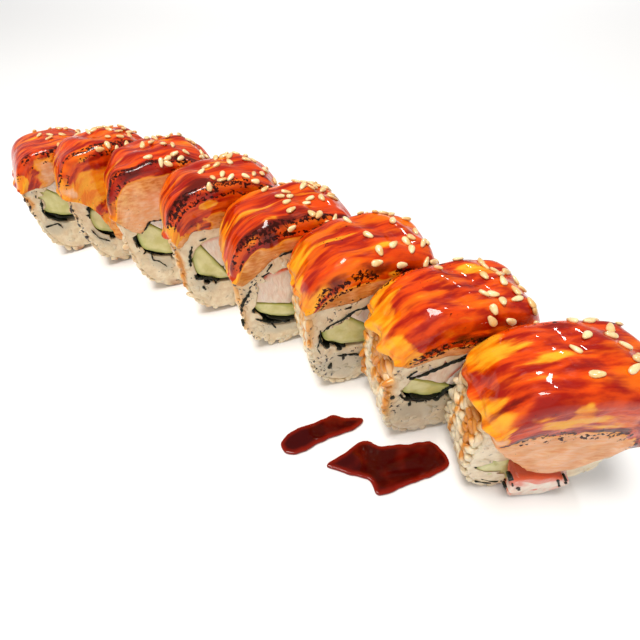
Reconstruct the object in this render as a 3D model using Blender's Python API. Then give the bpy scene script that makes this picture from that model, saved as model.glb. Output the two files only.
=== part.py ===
"""Uramaki roll cut into eight slices that stand in a row, with two pools of sauce.

Each slice is a rice ring round a coil of nori, with avocado and two crab sticks inside and
a seared slice of salmon laid over the top, strewn with sesame. The row runs along +X and its
near end is at +X. Z is up, the slices stand on Z = 0, and the origin is under the middle of
the row's box. Lengths are written in millimetres, and to_metres turns each mesh into metres.
"""

import math
import random
from collections import namedtuple

import bmesh
import bpy
from mathutils import Euler, Matrix, Vector

MILLIMETRE = 0.001

# The row: the slices stand in a gentle bow, each one turned away from the line of the row
PITCH = 28.1
BOW_RADIUS = 455.0

# One slice. The core is the nori coil, measured from the slice's middle line and its foot. The
# avocado's seam is tilted in degrees, and lies a share of the core's half height off its middle.
# The crab is split a share of the core's half width off its middle.
Slice = namedtuple(
    "Slice",
    "heading thickness half_width height core_across core_up core_half_width core_half_height"
    " avocado_tilt avocado_seam crab_split flap seeds",
)

# The outline of a slice and of its core are superellipses: 2 is round, 4 is nearly square
SLICE_SQUARENESS = 3.1
CORE_SQUARENESS = 2.5
FOOT_FLATTENING = 0.8

# The salmon: how far down each side it reaches, as a share of the height, and how thick it is
SALMON_END_LEFT = 0.66
SALMON_END_RIGHT = 0.60
SALMON_TIP = 1.8
SALMON_CROWN = 7.5
SALMON_SWELL = 1.6
SALMON_COLUMNS = 15
SALMON_ROWS = (-1.0, -0.86, -0.5, 0.0, 0.5, 0.86, 1.0)
WAVE_HEIGHT = 0.45
WAVE_LENGTH = 11.0

# The rice: a grid of about one grain to a cell, each corner pushed in by up to one bump
RICE_INSET = 0.5
RICE_COLUMNS = 22
RICE_ROWS = 5
GRAIN_BUMP = 1.0

# The nori coil: one turn and a little more, closing in towards its inner end
NORI_THICKNESS = 0.8
NORI_INNER_SCALE = 0.86
NORI_OVERLAP = 0.12
NORI_STEPS = 22
NORI_START = math.radians(205)

# The fillings
FILLING_POINTS = 20
FILLING_OVERHANG = {"none": 0.4, "long": 0.0, "short": 3.4}

# Sesame seeds, half sunk into the salmon
SEED_LENGTH = 3.2
SEED_WIDTH = 1.9
SEED_HEIGHT = 1.1
SEED_SIDES = 6
SEED_SPACING = 3.7
SEEDED_SHARES = (0.2, 0.73)

# Touching pieces keep this much air between them
GAP = 0.35

# The tongue of salmon that hangs over the near cut of two slices: its edge, across and up
FLAP_THICKNESS = 2.6
TONGUES = {
    "none": (),
    "long": ((-14.5, 40), (-12.5, 29), (-9.5, 18), (-7, 8), (-3, 4.5), (0.5, 9), (4, 20),
             (9, 30), (14, 39), (6, 43), (-6, 43)),
    "short": ((-15.5, 36), (-14.5, 28), (-10, 21), (-4, 17.4), (4, 17), (10, 19), (14.5, 26),
              (15.5, 36), (7, 42), (-7, 42)),
}

# From the far end of the row to the near one
SLICES = (
    Slice(-23, 22.0, 17.5, 46.0, -1.0, 24.5, 12.5, 9.5, 45, 0.10, 0.10, "none", 10),
    Slice(-24, 18.5, 18.7, 49.0, -2.0, 21.5, 12.5, 9.5, 40, 0.20, -0.05, "long", 10),
    Slice(-34, 22.0, 19.4, 50.5, -1.0, 24.0, 14.0, 10.5, 45, 0.10, 0.10, "none", 11),
    Slice(-36, 20.0, 20.3, 50.5, -1.0, 23.5, 14.5, 11.0, 65, 0.50, -0.10, "none", 10),
    Slice(-37, 22.0, 20.8, 48.5, -1.5, 22.5, 14.8, 12.5, 30, 0.10, 0.00, "none", 12),
    Slice(-40, 22.0, 19.9, 48.8, -1.5, 26.5, 14.3, 9.5, 30, 0.05, 0.00, "none", 10),
    Slice(-42, 20.5, 20.0, 47.8, -1.5, 26.3, 14.6, 8.8, 33, 0.05, 0.00, "none", 11),
    Slice(-52, 21.0, 19.4, 47.8, -2.5, 10.6, 13.5, 8.0, 75, 0.65, -0.15, "short", 11),
)

# The pools of sauce beside the near slices: their edges, clockwise as seen from above, along
# and across the row before it is centred
POOL_DEPTH = 1.2
POOL_SLOPE = 0.8
POOL_STEPS = 3
POOL_EDGES = {
    "sauce_streak": ((42, -44.5), (42, -40), (45.5, -33.5), (49.5, -27.5), (53, -26),
                     (57.5, -23.5), (57.5, -27), (53.5, -33.5), (49, -41.5), (45.5, -45.5)),
    "sauce_pool": ((56.5, -42), (59, -36), (61.5, -29.5), (66.5, -28.2), (71.5, -24.2),
                   (77.5, -18.8), (81.5, -19.2), (85, -22.5), (82, -28.5), (77, -35.5),
                   (72.5, -41), (68.5, -39), (62, -41)),
}

# Colour, roughness and metallic value of each kind of piece
FINISHES = {
    "rice": ((0.82, 0.76, 0.64), 0.55),
    "nori": ((0.010, 0.014, 0.008), 0.45),
    "avocado": ((0.62, 0.66, 0.22), 0.40),
    "crab": ((0.86, 0.70, 0.62), 0.40),
    "salmon": ((0.78, 0.20, 0.03), 0.18),
    "sauce": ((0.07, 0.006, 0.003), 0.06),
}


def clear_scene():
    """Start from an empty scene."""
    for thing in list(bpy.data.objects):
        bpy.data.objects.remove(thing, do_unlink=True)


def finish_material(kind):
    """Make the one material of a kind of piece."""
    colour, roughness = FINISHES[kind]
    material = bpy.data.materials.new(kind)
    material.use_nodes = True
    shader = material.node_tree.nodes["Principled BSDF"]
    shader.inputs["Base Color"].default_value = (*colour, 1.0)
    shader.inputs["Roughness"].default_value = roughness
    shader.inputs["Metallic"].default_value = 0.0
    return material


# Outlines: flat shapes in a slice's own plane, as (across, up)

def superellipse(half_width, half_height, squareness, angle):
    """One point of a rounded oblong round (0, 0)."""
    power = 2.0 / squareness
    across = half_width * math.copysign(abs(math.cos(angle)) ** power, math.cos(angle))
    up = half_height * math.copysign(abs(math.sin(angle)) ** power, math.sin(angle))
    return Vector((across, up))


class Outline:
    """The outer outline of a slice, walked anticlockwise from the middle of its foot."""

    STEPS = 720

    def __init__(self, piece):
        self.piece = piece
        self.points = []
        for step in range(self.STEPS + 1):
            angle = -math.pi / 2 + 2 * math.pi * step / self.STEPS
            point = superellipse(piece.half_width, piece.height / 2, SLICE_SQUARENESS, angle)
            up = max(0.0, point.y + piece.height / 2 - FOOT_FLATTENING)
            up *= piece.height / (piece.height - FOOT_FLATTENING)
            self.points.append(Vector((point.x, up)))
        self.lengths = [0.0]
        for before, after in zip(self.points, self.points[1:]):
            self.lengths.append(self.lengths[-1] + (after - before).length)
        self.total = self.lengths[-1]

    def place(self, share, inset=0.0):
        """The point at a share of the way round, moved in square to the outline."""
        wanted = (share % 1.0) * self.total
        low, high = 0, self.STEPS
        while high - low > 1:
            middle = (low + high) // 2
            if self.lengths[middle] <= wanted:
                low = middle
            else:
                high = middle
        before, after = self.points[low], self.points[high]
        span = self.lengths[high] - self.lengths[low]
        point = before.lerp(after, (wanted - self.lengths[low]) / span)
        along = (self.points[(high + 3) % self.STEPS] - self.points[low - 3]).normalized()
        return point + Vector((-along.y, along.x)) * inset

    def share_at(self, up, side):
        """The share of the way round at which a side, +1 or -1, reaches a height."""
        candidates = [
            (abs(point.y - up), length / self.total)
            for point, length in zip(self.points, self.lengths)
            if point.x * side > 0 and abs(point.y - up) < 1.0
        ]
        return min(candidates)[1]


def salmon_thickness(progress):
    """Thickness of the salmon from one end of its arch, 0, to the other, 1."""
    arch = math.sin(math.pi * min(max(progress, 0.0), 1.0))
    return SALMON_TIP + (SALMON_CROWN - SALMON_TIP) * arch ** 1.3


def smooth_loop(corners, steps):
    """A closed curve through a few corners, with a number of steps between each two."""
    count = len(corners)
    points = []
    for index in range(count):
        p0, p1, p2, p3 = (Vector(corners[(index + k) % count]) for k in (-1, 0, 1, 2))
        for step in range(steps):
            t = step / steps
            point = 0.5 * (
                2 * p1 + (p2 - p0) * t
                + (2 * p0 - 5 * p1 + 4 * p2 - p3) * t ** 2
                + (3 * p1 - p0 - 3 * p2 + p3) * t ** 3
            )
            points.append(point)
    return points


def clip(loop, through, direction):
    """The part of a loop that lies on the side a direction points to."""
    kept = []
    for before, after in zip(loop, loop[1:] + loop[:1]):
        near = (before - through).dot(direction)
        far = (after - through).dot(direction)
        if near >= 0:
            kept.append(before)
        if near * far < 0:
            kept.append(before.lerp(after, near / (near - far)))
    return kept


def even_loop(loop, count):
    """The same loop with evenly spaced points, its corners cut a little."""
    sides = list(zip(loop, loop[1:] + loop[:1]))
    total = sum((after - before).length for before, after in sides)
    points = []
    walked = 0.0
    wanted = 0.0
    for before, after in sides:
        side = (after - before).length
        while wanted < walked + side and len(points) < count:
            points.append(before.lerp(after, (wanted - walked) / side))
            wanted += total / count
        walked += side
    return [
        points[i - 1] * 0.25 + points[i] * 0.5 + points[(i + 1) % len(points)] * 0.25
        for i in range(len(points))
    ]


# Meshes

def object_from(name, mesh_builder):
    """Turn a bmesh in millimetres into a smooth-shaded object in metres."""
    bmesh.ops.remove_doubles(mesh_builder, verts=mesh_builder.verts, dist=1e-4)
    bmesh.ops.triangulate(mesh_builder, faces=mesh_builder.faces)
    bmesh.ops.recalc_face_normals(mesh_builder, faces=mesh_builder.faces)
    mesh = bpy.data.meshes.new(name)
    mesh_builder.to_mesh(mesh)
    mesh_builder.free()
    thing = bpy.data.objects.new(name, mesh)
    bpy.context.scene.collection.objects.link(thing)
    return thing


def to_metres(thing):
    """Scale a finished mesh from millimetres and shade its round surfaces smooth."""
    thing.data.transform(Matrix.Scale(MILLIMETRE, 4))
    thing.data.shade_smooth()
    thing.data.set_sharp_from_angle(angle=math.radians(42))


def prism(name, loop, low, high):
    """A flat loop, given as (across, up), drawn out along the slice's axis."""
    builder = bmesh.new()
    back = [builder.verts.new((low, point.x, point.y)) for point in loop]
    front = [builder.verts.new((high, point.x, point.y)) for point in loop]
    count = len(loop)
    for index in range(count):
        following = (index + 1) % count
        builder.faces.new((back[index], back[following], front[following], front[index]))
    builder.faces.new(list(reversed(back)))
    builder.faces.new(front)
    return object_from(name, builder)


def combine(target, operands, operation):
    """Apply one Boolean of a collection to an object, and remove the collection's objects."""
    group = bpy.data.collections.new("operands")
    bpy.context.scene.collection.children.link(group)
    for operand in operands:
        bpy.context.scene.collection.objects.unlink(operand)
        group.objects.link(operand)
    modifier = target.modifiers.new("combine", "BOOLEAN")
    modifier.operation = operation
    modifier.operand_type = "COLLECTION"
    modifier.collection = group
    modifier.solver = "MANIFOLD"
    bpy.context.view_layer.update()
    graph = bpy.context.evaluated_depsgraph_get()
    result = bpy.data.meshes.new_from_object(target.evaluated_get(graph))
    target.modifiers.remove(modifier)
    target.data = result
    for operand in operands:
        bpy.data.objects.remove(operand, do_unlink=True)
    bpy.data.collections.remove(group)


# The rice

def near_cut(piece):
    """Where the rice and the fillings end: set back where a tongue hangs over the cut."""
    setback = FLAP_THICKNESS + GAP if piece.flap != "none" else 0.0
    return piece.thickness / 2 - setback


def salmon_ends(piece, outline):
    """The shares of the way round the outline where the salmon begins and ends."""
    right = outline.share_at(piece.height * SALMON_END_RIGHT, 1)
    left = outline.share_at(piece.height * SALMON_END_LEFT, -1)
    return right, left


def rice_block(number, piece, outline):
    """The rice before its core is cut out: bumpy where it shows, smooth under the salmon."""
    draw = random.Random(100 + number)
    right, left = salmon_ends(piece, outline)
    low, high = -piece.thickness / 2, near_cut(piece)
    step_clear = (SALMON_TIP / 2 + GAP) / outline.total
    open_start, open_end = left + step_clear, 1.0 + right - step_clear
    builder = bmesh.new()
    columns = []
    for column in range(RICE_COLUMNS + 1):
        share = open_start + (open_end - open_start) * column / RICE_COLUMNS
        at_edge = column in (0, RICE_COLUMNS)
        rows = []
        for row in range(RICE_ROWS + 1):
            bump = 0.0 if at_edge else draw.uniform(0.0, GRAIN_BUMP)
            point = outline.place(share, RICE_INSET + bump)
            up = 0.0 if point.y < RICE_INSET + GRAIN_BUMP else point.y
            along = low + (high - low) * row / RICE_ROWS
            rows.append(builder.verts.new((along, point.x, up)))
        columns.append(rows)
    for column in range(SALMON_COLUMNS + 1):
        progress = column / SALMON_COLUMNS
        share = right + (left - right) * progress
        point = outline.place(share, salmon_thickness(progress) + GAP)
        rows = [builder.verts.new((along, point.x, point.y)) for along in (low, high)]
        columns.append(rows)
    count = len(columns)
    for index in range(count):
        here, after = columns[index], columns[(index + 1) % count]
        if len(here) == len(after):
            for row in range(len(here) - 1):
                builder.faces.new((here[row], after[row], after[row + 1], here[row + 1]))
        else:
            builder.faces.new(here + list(reversed(after)))
    builder.faces.new([rows[0] for rows in columns])
    builder.faces.new([rows[-1] for rows in reversed(columns)])
    return object_from(f"rice_{number}", builder)


def core_loop(piece, offset, count=40):
    """The outline of the core, grown or shrunk by an offset."""
    loop = []
    for step in range(count):
        angle = 2 * math.pi * step / count
        point = superellipse(
            piece.core_half_width + offset, piece.core_half_height + offset,
            CORE_SQUARENESS, angle,
        )
        loop.append(point + Vector((piece.core_across, piece.core_up)))
    return loop


def make_rice(number, piece, outline):
    """The ring of rice round the nori."""
    rice = rice_block(number, piece, outline)
    hole = prism(
        "hole", core_loop(piece, NORI_THICKNESS / 2 + GAP, NORI_STEPS),
        -piece.thickness, piece.thickness,
    )
    combine(rice, [hole], "DIFFERENCE")
    return rice


# The nori and what it holds

def coil_scale(turn):
    """How far out the nori runs, against the core's outline, after a share of a turn."""
    eased = min(turn, 1.0) ** 2 * (3 - 2 * min(turn, 1.0))
    return NORI_INNER_SCALE + (1.0 - NORI_INNER_SCALE) * eased


def make_nori(number, piece):
    """The sheet of nori, coiled a little more than once round the fillings."""
    middle = Vector((piece.core_across, piece.core_up))
    line = []
    for step in range(NORI_STEPS + 1):
        turn = (1.0 + NORI_OVERLAP) * step / NORI_STEPS
        angle = NORI_START + 2 * math.pi * turn
        point = superellipse(
            piece.core_half_width, piece.core_half_height, CORE_SQUARENESS, angle
        )
        line.append(middle + point * coil_scale(turn))
    outer, inner = [], []
    for index, point in enumerate(line):
        before = line[max(index - 1, 0)]
        after = line[min(index + 1, NORI_STEPS)]
        along = (after - before).normalized()
        sideways = Vector((along.y, -along.x)) * NORI_THICKNESS / 2
        outer.append(point + sideways)
        inner.append(point - sideways)
    return prism(
        f"nori_{number}", outer + inner[::-1], -piece.thickness / 2 + 0.2, near_cut(piece) - 0.2
    )


def make_fillings(number, piece):
    """An avocado slice along the lower edge of the core and two crab sticks above it."""
    inset = (1 - NORI_INNER_SCALE) * piece.core_half_width + NORI_THICKNESS / 2 + GAP
    room = core_loop(piece, -inset, 60)
    middle = Vector((piece.core_across, piece.core_up))
    tilt = math.radians(piece.avocado_tilt)
    lower_left = Vector((-math.sin(tilt), -math.cos(tilt)))
    upper = -lower_left
    sideways = Vector((-upper.y, upper.x))
    seam = middle + lower_left * piece.core_half_height * piece.avocado_seam
    split = middle + sideways * piece.core_half_width * piece.crab_split
    above = clip(room, seam + upper * GAP / 2, upper)
    shapes = (
        ("avocado", clip(room, seam + lower_left * GAP / 2, lower_left)),
        ("crab_left", clip(above, split + sideways * GAP / 2, sideways)),
        ("crab_right", clip(above, split - sideways * GAP / 2, -sideways)),
    )
    low, high = -piece.thickness / 2, near_cut(piece)
    overhang = FILLING_OVERHANG[piece.flap]
    made = []
    for order, (kind, loop) in enumerate(shapes):
        reach = high + overhang * (1.0 - 0.3 * order)
        made.append(prism(f"{kind}_{number}", even_loop(loop, FILLING_POINTS), low, reach))
    return made


# The salmon and its sesame

def salmon_point(piece, outline, progress, row):
    """A point of the salmon's upper surface: progress runs across the arch, row along it."""
    right, left = salmon_ends(piece, outline)
    share = right + (left - right) * progress
    arch = math.sin(math.pi * progress)
    swell = SALMON_SWELL * (1.0 - row ** 4) * arch ** 0.5
    walk = (share - right) * outline.total
    wave = WAVE_HEIGHT * math.sin(2 * math.pi * (walk + 7 * row + 3 * piece.core_up) / WAVE_LENGTH)
    lift = swell + wave * arch * (1.0 - row ** 4)
    point = outline.place(share, -lift)
    return Vector((row * piece.thickness / 2, point.x, point.y))


def salmon_sheet(number, piece, outline):
    """The slice of salmon laid over the rice: swollen along its middle, thin at its ends."""
    right, left = salmon_ends(piece, outline)
    builder = bmesh.new()
    upper, lower = [], []
    for column in range(SALMON_COLUMNS + 1):
        progress = column / SALMON_COLUMNS
        share = right + (left - right) * progress
        upper.append([
            builder.verts.new(salmon_point(piece, outline, progress, row))
            for row in SALMON_ROWS
        ])
        under = outline.place(share, salmon_thickness(progress))
        lower.append([
            builder.verts.new((row * piece.thickness / 2, under.x, under.y))
            for row in (-1.0, 1.0)
        ])
    last = len(SALMON_ROWS) - 1
    for column in range(SALMON_COLUMNS):
        for row in range(last):
            builder.faces.new((
                upper[column][row], upper[column + 1][row],
                upper[column + 1][row + 1], upper[column][row + 1],
            ))
        builder.faces.new((
            lower[column][0], lower[column][1], lower[column + 1][1], lower[column + 1][0],
        ))
        for row, end in ((0, 0), (last, 1)):
            builder.faces.new((
                upper[column][row], upper[column + 1][row],
                lower[column + 1][end], lower[column][end],
            ))
    for column in (0, SALMON_COLUMNS):
        builder.faces.new(upper[column] + list(reversed(lower[column])))
    return object_from(f"salmon_{number}", builder)


def make_seed(place, square, turn):
    """A sesame seed: a flat drop, pointed at one end, lying on the salmon."""
    builder = bmesh.new()
    stations = ((-0.22, 0.85), (0.18, 1.0))
    rings = []
    for along, girth in stations:
        ring = []
        for side in range(SEED_SIDES):
            angle = 2 * math.pi * side / SEED_SIDES
            ring.append(builder.verts.new((
                along * SEED_LENGTH,
                girth * SEED_WIDTH / 2 * math.cos(angle),
                girth * SEED_HEIGHT / 2 * math.sin(angle),
            )))
        rings.append(ring)
    point = builder.verts.new((-SEED_LENGTH / 2, 0, 0))
    blunt = builder.verts.new((SEED_LENGTH / 2, 0, 0))
    for side in range(SEED_SIDES):
        following = (side + 1) % SEED_SIDES
        builder.faces.new((point, rings[0][following], rings[0][side]))
        builder.faces.new((
            rings[0][side], rings[0][following], rings[1][following], rings[1][side],
        ))
        builder.faces.new((rings[1][side], rings[1][following], blunt))
    seed = object_from("seed", builder)
    stand = square.to_track_quat("Z", "X").to_matrix().to_4x4()
    spin = Euler((0, 0, turn)).to_matrix().to_4x4()
    seed.data.transform(Matrix.Translation(place) @ stand @ spin)
    return seed


def facet_under(piece, outline, column, row, across, along):
    """A place on one facet of the salmon's upper side, and the direction square to it."""
    corners = [
        salmon_point(piece, outline, (column + right) / SALMON_COLUMNS, SALMON_ROWS[row + far])
        for right, far in ((0, 0), (1, 0), (0, 1), (1, 1))
    ]
    low = corners[0].lerp(corners[1], across)
    high = corners[2].lerp(corners[3], across)
    square = (corners[3] - corners[0]).cross(corners[2] - corners[1]).normalized()
    if square.z < 0:
        square.negate()
    return low.lerp(high, along), square


def strew_seeds(number, piece, outline):
    """Sesame seeds scattered over the crown, none on top of another."""
    draw = random.Random(300 + number)
    columns = [round(share * SALMON_COLUMNS) for share in SEEDED_SHARES]
    seeds, places = [], []
    while len(seeds) < piece.seeds:
        column = draw.randrange(*columns)
        row = draw.randrange(len(SALMON_ROWS) - 1)
        across, along = draw.uniform(0.2, 0.8), draw.uniform(0.2, 0.8)
        place, square = facet_under(piece, outline, column, row, across, along)
        turn = draw.uniform(0, 2 * math.pi)
        if all((place - other).length > SEED_SPACING for other in places):
            places.append(place)
            seeds.append(make_seed(place, square, turn))
    return seeds


def make_tongue(piece):
    """The tongue of salmon that hangs down over the near cut."""
    edge = smooth_loop([Vector(corner) for corner in TONGUES[piece.flap]], 3)
    front = piece.thickness / 2
    return prism("tongue", edge, front - FLAP_THICKNESS, front - 0.05)


def make_salmon(number, piece, outline):
    """The salmon with its tongue and its seeds, joined into one solid."""
    salmon = salmon_sheet(number, piece, outline)
    extras = strew_seeds(number, piece, outline)
    if piece.flap != "none":
        extras.append(make_tongue(piece))
    combine(salmon, extras, "UNION")
    return salmon


# The sauce

def make_pool(name, corners):
    """A thin pool with a sloping edge, flat on the ground."""
    foot = smooth_loop(corners, POOL_STEPS)
    builder = bmesh.new()
    low, high = [], []
    count = len(foot)
    for index, point in enumerate(foot):
        along = (foot[(index + 1) % count] - foot[index - 1]).normalized()
        inwards = Vector((along.y, -along.x))
        low.append(builder.verts.new((point.x, point.y, 0)))
        edge = point + inwards * POOL_SLOPE
        high.append(builder.verts.new((edge.x, edge.y, POOL_DEPTH)))
    for index in range(count):
        following = (index + 1) % count
        builder.faces.new((low[index], low[following], high[following], high[index]))
    builder.faces.new(list(reversed(low)))
    builder.faces.new(high)
    return object_from(name, builder)


# Assembly

def slice_place(index, piece):
    """Where a slice stands in the row, in metres, and how it is turned."""
    along = PITCH * (index - (len(SLICES) - 1) / 2)
    across = -along ** 2 / (2 * BOW_RADIUS)
    turn = Matrix.Rotation(math.radians(piece.heading), 4, "Z")
    return Matrix.Translation(Vector((along, across, 0)) * MILLIMETRE) @ turn


def centre_under_box(row):
    """Move the row so that the origin is under the middle of its box."""
    bpy.context.view_layer.update()
    corners = [
        thing.matrix_world @ vertex.co
        for thing in row.children
        for vertex in thing.data.vertices
    ]
    lowest = Vector(min(corner[axis] for corner in corners) for axis in range(3))
    highest = Vector(max(corner[axis] for corner in corners) for axis in range(3))
    row.location = -(lowest + highest) / 2
    row.location.z = -lowest.z
    bpy.context.view_layer.update()


def main():
    """Build every slice and pool, and stand them round the origin."""
    clear_scene()
    materials = {kind: finish_material(kind) for kind in FINISHES}
    row = bpy.data.objects.new("row", None)
    bpy.context.scene.collection.objects.link(row)
    pieces = []
    for index, piece in enumerate(SLICES):
        number = index + 1
        outline = Outline(piece)
        made = [
            make_rice(number, piece, outline),
            make_nori(number, piece),
            *make_fillings(number, piece),
            make_salmon(number, piece, outline),
        ]
        for thing in made:
            pieces.append((thing, slice_place(index, piece)))
    for name, corners in POOL_EDGES.items():
        pieces.append((make_pool(name, corners), Matrix.Identity(4)))
    for thing, place in pieces:
        to_metres(thing)
        thing.data.materials.clear()
        thing.data.materials.append(materials[thing.name.split("_")[0]])
        thing.matrix_world = place
        thing.parent = row
    centre_under_box(row)


main()
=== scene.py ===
# %% [markdown]
# # Uramaki roll with seared salmon
#
# Eight slices of an inside-out sushi roll stand in a row. The plain solids already have the
# right size and place. This lesson gives each of them the surface of the real food: grains of
# rice, a crinkled sheet of nori, avocado, crab stick, a glazed slice of salmon, sesame seeds
# and two pools of dark sauce. Lengths are written in millimetres and turned into metres when a
# mesh is made.

# %% Load the frame
import math
import random
from collections import namedtuple

import bmesh
import bpy
import numpy as np
from mathutils import Matrix, Vector, noise


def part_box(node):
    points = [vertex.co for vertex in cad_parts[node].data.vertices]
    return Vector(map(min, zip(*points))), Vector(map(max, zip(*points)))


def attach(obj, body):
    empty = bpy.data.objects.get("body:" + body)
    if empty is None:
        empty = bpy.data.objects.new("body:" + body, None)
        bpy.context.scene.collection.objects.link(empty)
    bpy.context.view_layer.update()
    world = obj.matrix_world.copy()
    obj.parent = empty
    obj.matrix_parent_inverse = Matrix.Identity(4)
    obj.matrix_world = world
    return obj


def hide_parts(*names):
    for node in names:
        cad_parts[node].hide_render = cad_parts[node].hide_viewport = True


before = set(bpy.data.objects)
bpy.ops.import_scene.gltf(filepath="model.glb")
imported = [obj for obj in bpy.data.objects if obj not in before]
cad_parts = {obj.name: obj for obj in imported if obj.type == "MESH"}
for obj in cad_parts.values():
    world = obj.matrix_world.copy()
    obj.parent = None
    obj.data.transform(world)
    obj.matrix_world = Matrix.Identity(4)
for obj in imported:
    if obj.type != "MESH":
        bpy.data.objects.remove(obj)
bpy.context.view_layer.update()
MM = 0.001
print("nodes loaded:", len(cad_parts))

# %% [markdown]
# ## The slices
#
# Every slice stands a fixed pitch from the last one, on a gentle bow, and is turned a little
# further from the line of the row. One small record for each slice says how it is turned, how
# large it is, and where its core of nori lies. The solids were drawn from the same values, so
# that each dressed piece stays where its solid is.

# %% Sizes of the eight slices
PITCH = 28.1
BOW_RADIUS = 455.0
ROW_SHIFT = Vector((-2.413, 11.346, 0.0))
SLICE_SQUARENESS = 3.1
CORE_SQUARENESS = 2.5
FOOT_FLATTENING = 0.8
SETBACK = 2.95

Slice = namedtuple(
    "Slice",
    "heading thickness half_width height core_across core_up core_half_width core_half_height"
    " avocado_tilt avocado_seam crab_split flap",
)
SLICES = (
    Slice(-23, 22.0, 17.5, 46.0, -1.0, 24.5, 12.5, 9.5, 45, 0.10, 0.10, "none"),
    Slice(-24, 18.5, 18.7, 49.0, -2.0, 21.5, 12.5, 9.5, 40, 0.20, -0.05, "long"),
    Slice(-34, 22.0, 19.4, 50.5, -1.0, 24.0, 14.0, 10.5, 45, 0.10, 0.10, "none"),
    Slice(-36, 20.0, 20.3, 50.5, -1.0, 23.5, 14.5, 11.0, 65, 0.50, -0.10, "none"),
    Slice(-37, 22.0, 20.8, 48.5, -1.5, 22.5, 14.8, 12.5, 30, 0.10, 0.00, "none"),
    Slice(-40, 22.0, 19.9, 48.8, -1.5, 26.5, 14.3, 9.5, 30, 0.05, 0.00, "none"),
    Slice(-42, 20.5, 20.0, 47.8, -1.5, 26.3, 14.6, 8.8, 33, 0.05, 0.00, "none"),
    Slice(-52, 21.0, 19.4, 47.8, -2.5, 10.6, 13.5, 8.0, 75, 0.65, -0.15, "short"),
)


def slice_place(index):
    """The matrix that stands a slice in the row, from its own metres to the frame's."""
    along = PITCH * (index - (len(SLICES) - 1) / 2)
    across = -along ** 2 / (2 * BOW_RADIUS)
    turn = Matrix.Rotation(math.radians(SLICES[index].heading), 4, "Z")
    return Matrix.Translation((Vector((along, across, 0)) + ROW_SHIFT) * MM) @ turn


def near_cut(piece):
    """How far forward the rice and the fillings reach: less where salmon hangs over them."""
    return piece.thickness / 2 - (SETBACK if piece.flap != "none" else 0.0)


for index, piece in enumerate(SLICES):
    low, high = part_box(f"rice_{index + 1}")
    middle = slice_place(index).translation
    offset = ((low + high) / 2 - middle) / MM
    print(f"slice {index + 1}: rice box is {offset.x:+.1f}, {offset.y:+.1f} mm off its place")

# %% [markdown]
# ## Camera
#
# The photograph was taken close up with a wide lens, which is why the near slice looks so much
# larger than the far one. The camera stands a hand's breadth from the row and looks down on it.
# Its place, its turn and its focal length were found by laying the eight slices over the
# picture. Focal lengths in pixels are turned into millimetres of a 36 mm wide sensor.

# %% Camera
EYE = Vector((82.2, -71.0, 115.4))
LOOK_HEADING = math.radians(125.81)
LOOK_DOWN = math.radians(47.5)
CAMERA_ROLL = math.radians(-1.32)
FOCAL_PIXELS = 415.3
PICTURE_PIXELS = 640
SENSOR = 36.0


def camera_matrix():
    """The camera's place and turn, from its heading, its downward pitch and its roll."""
    level = Vector((math.cos(LOOK_HEADING), math.sin(LOOK_HEADING), 0))
    forward = level * math.cos(LOOK_DOWN) - Vector((0, 0, math.sin(LOOK_DOWN)))
    right = forward.cross(Vector((0, 0, 1))).normalized()
    up = right.cross(forward)
    turned_right = right * math.cos(CAMERA_ROLL) + up * math.sin(CAMERA_ROLL)
    turned_up = up * math.cos(CAMERA_ROLL) - right * math.sin(CAMERA_ROLL)
    matrix = Matrix((turned_right, turned_up, -forward)).transposed().to_4x4()
    matrix.translation = EYE * MM
    return matrix


lens = bpy.data.cameras.new("camera")
lens.sensor_width = SENSOR
lens.lens = FOCAL_PIXELS * SENSOR / PICTURE_PIXELS
lens.clip_start = 0.005
camera = bpy.data.objects.new("camera", lens)
camera.matrix_world = camera_matrix()
bpy.context.scene.collection.objects.link(camera)
bpy.context.scene.camera = camera
print(f"camera: {lens.lens:.2f} mm lens")

# %% [markdown]
# ## Light and floor
#
# Glazed food lives from its highlights. A soft light overhead gives the broad sheen, and a
# small one at the back gives the hard white spots that a wet glaze shows. A large soft light
# in front and a pale world fill the shadows, and one more soft light keeps the far floor pale.
# The standard view keeps the strong oranges as strong as they are.

# %% Light and floor
FLOOR_HALF = 6.0


def area_light(name, place, target, size, watts, tint=(1.0, 1.0, 1.0)):
    """A square light that looks at a point; its places are in metres."""
    data = bpy.data.lights.new(name, "AREA")
    data.size = size
    data.energy = watts
    data.color = tint
    light = bpy.data.objects.new(name, data)
    light.location = place
    aim = Vector(target) - Vector(place)
    light.rotation_euler = aim.to_track_quat("-Z", "Y").to_euler()
    bpy.context.scene.collection.objects.link(light)


area_light("overhead", (-0.08, -0.16, 0.85), (0, 0, 0.02), 0.26, 6.6, (1.0, 0.97, 0.93))
area_light("front_fill", (0.30, -0.75, 0.55), (0.02, 0, 0.02), 1.2, 1.6, (1.0, 0.98, 0.95))
area_light("floor_wash", (-1.0, 1.2, 0.9), (-1.2, 1.8, 0), 1.6, 30.0)
area_light("small_back", (0.02, 0.50, 0.65), (0.03, 0, 0.03), 0.07, 0.8)

world = bpy.data.worlds.new("pale_room")
world.use_nodes = True
backdrop = world.node_tree.nodes["Background"]
backdrop.inputs["Color"].default_value = (1.0, 1.0, 1.0, 1.0)
backdrop.inputs["Strength"].default_value = 0.34
bpy.context.scene.world = world
bpy.context.scene.view_settings.view_transform = "Standard"


def floor_material():
    """Plain matt white."""
    material = bpy.data.materials.new("floor")
    material.use_nodes = True
    shader = material.node_tree.nodes["Principled BSDF"]
    shader.inputs["Base Color"].default_value = (0.94, 0.94, 0.94, 1.0)
    shader.inputs["Roughness"].default_value = 0.9
    return material


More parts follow.
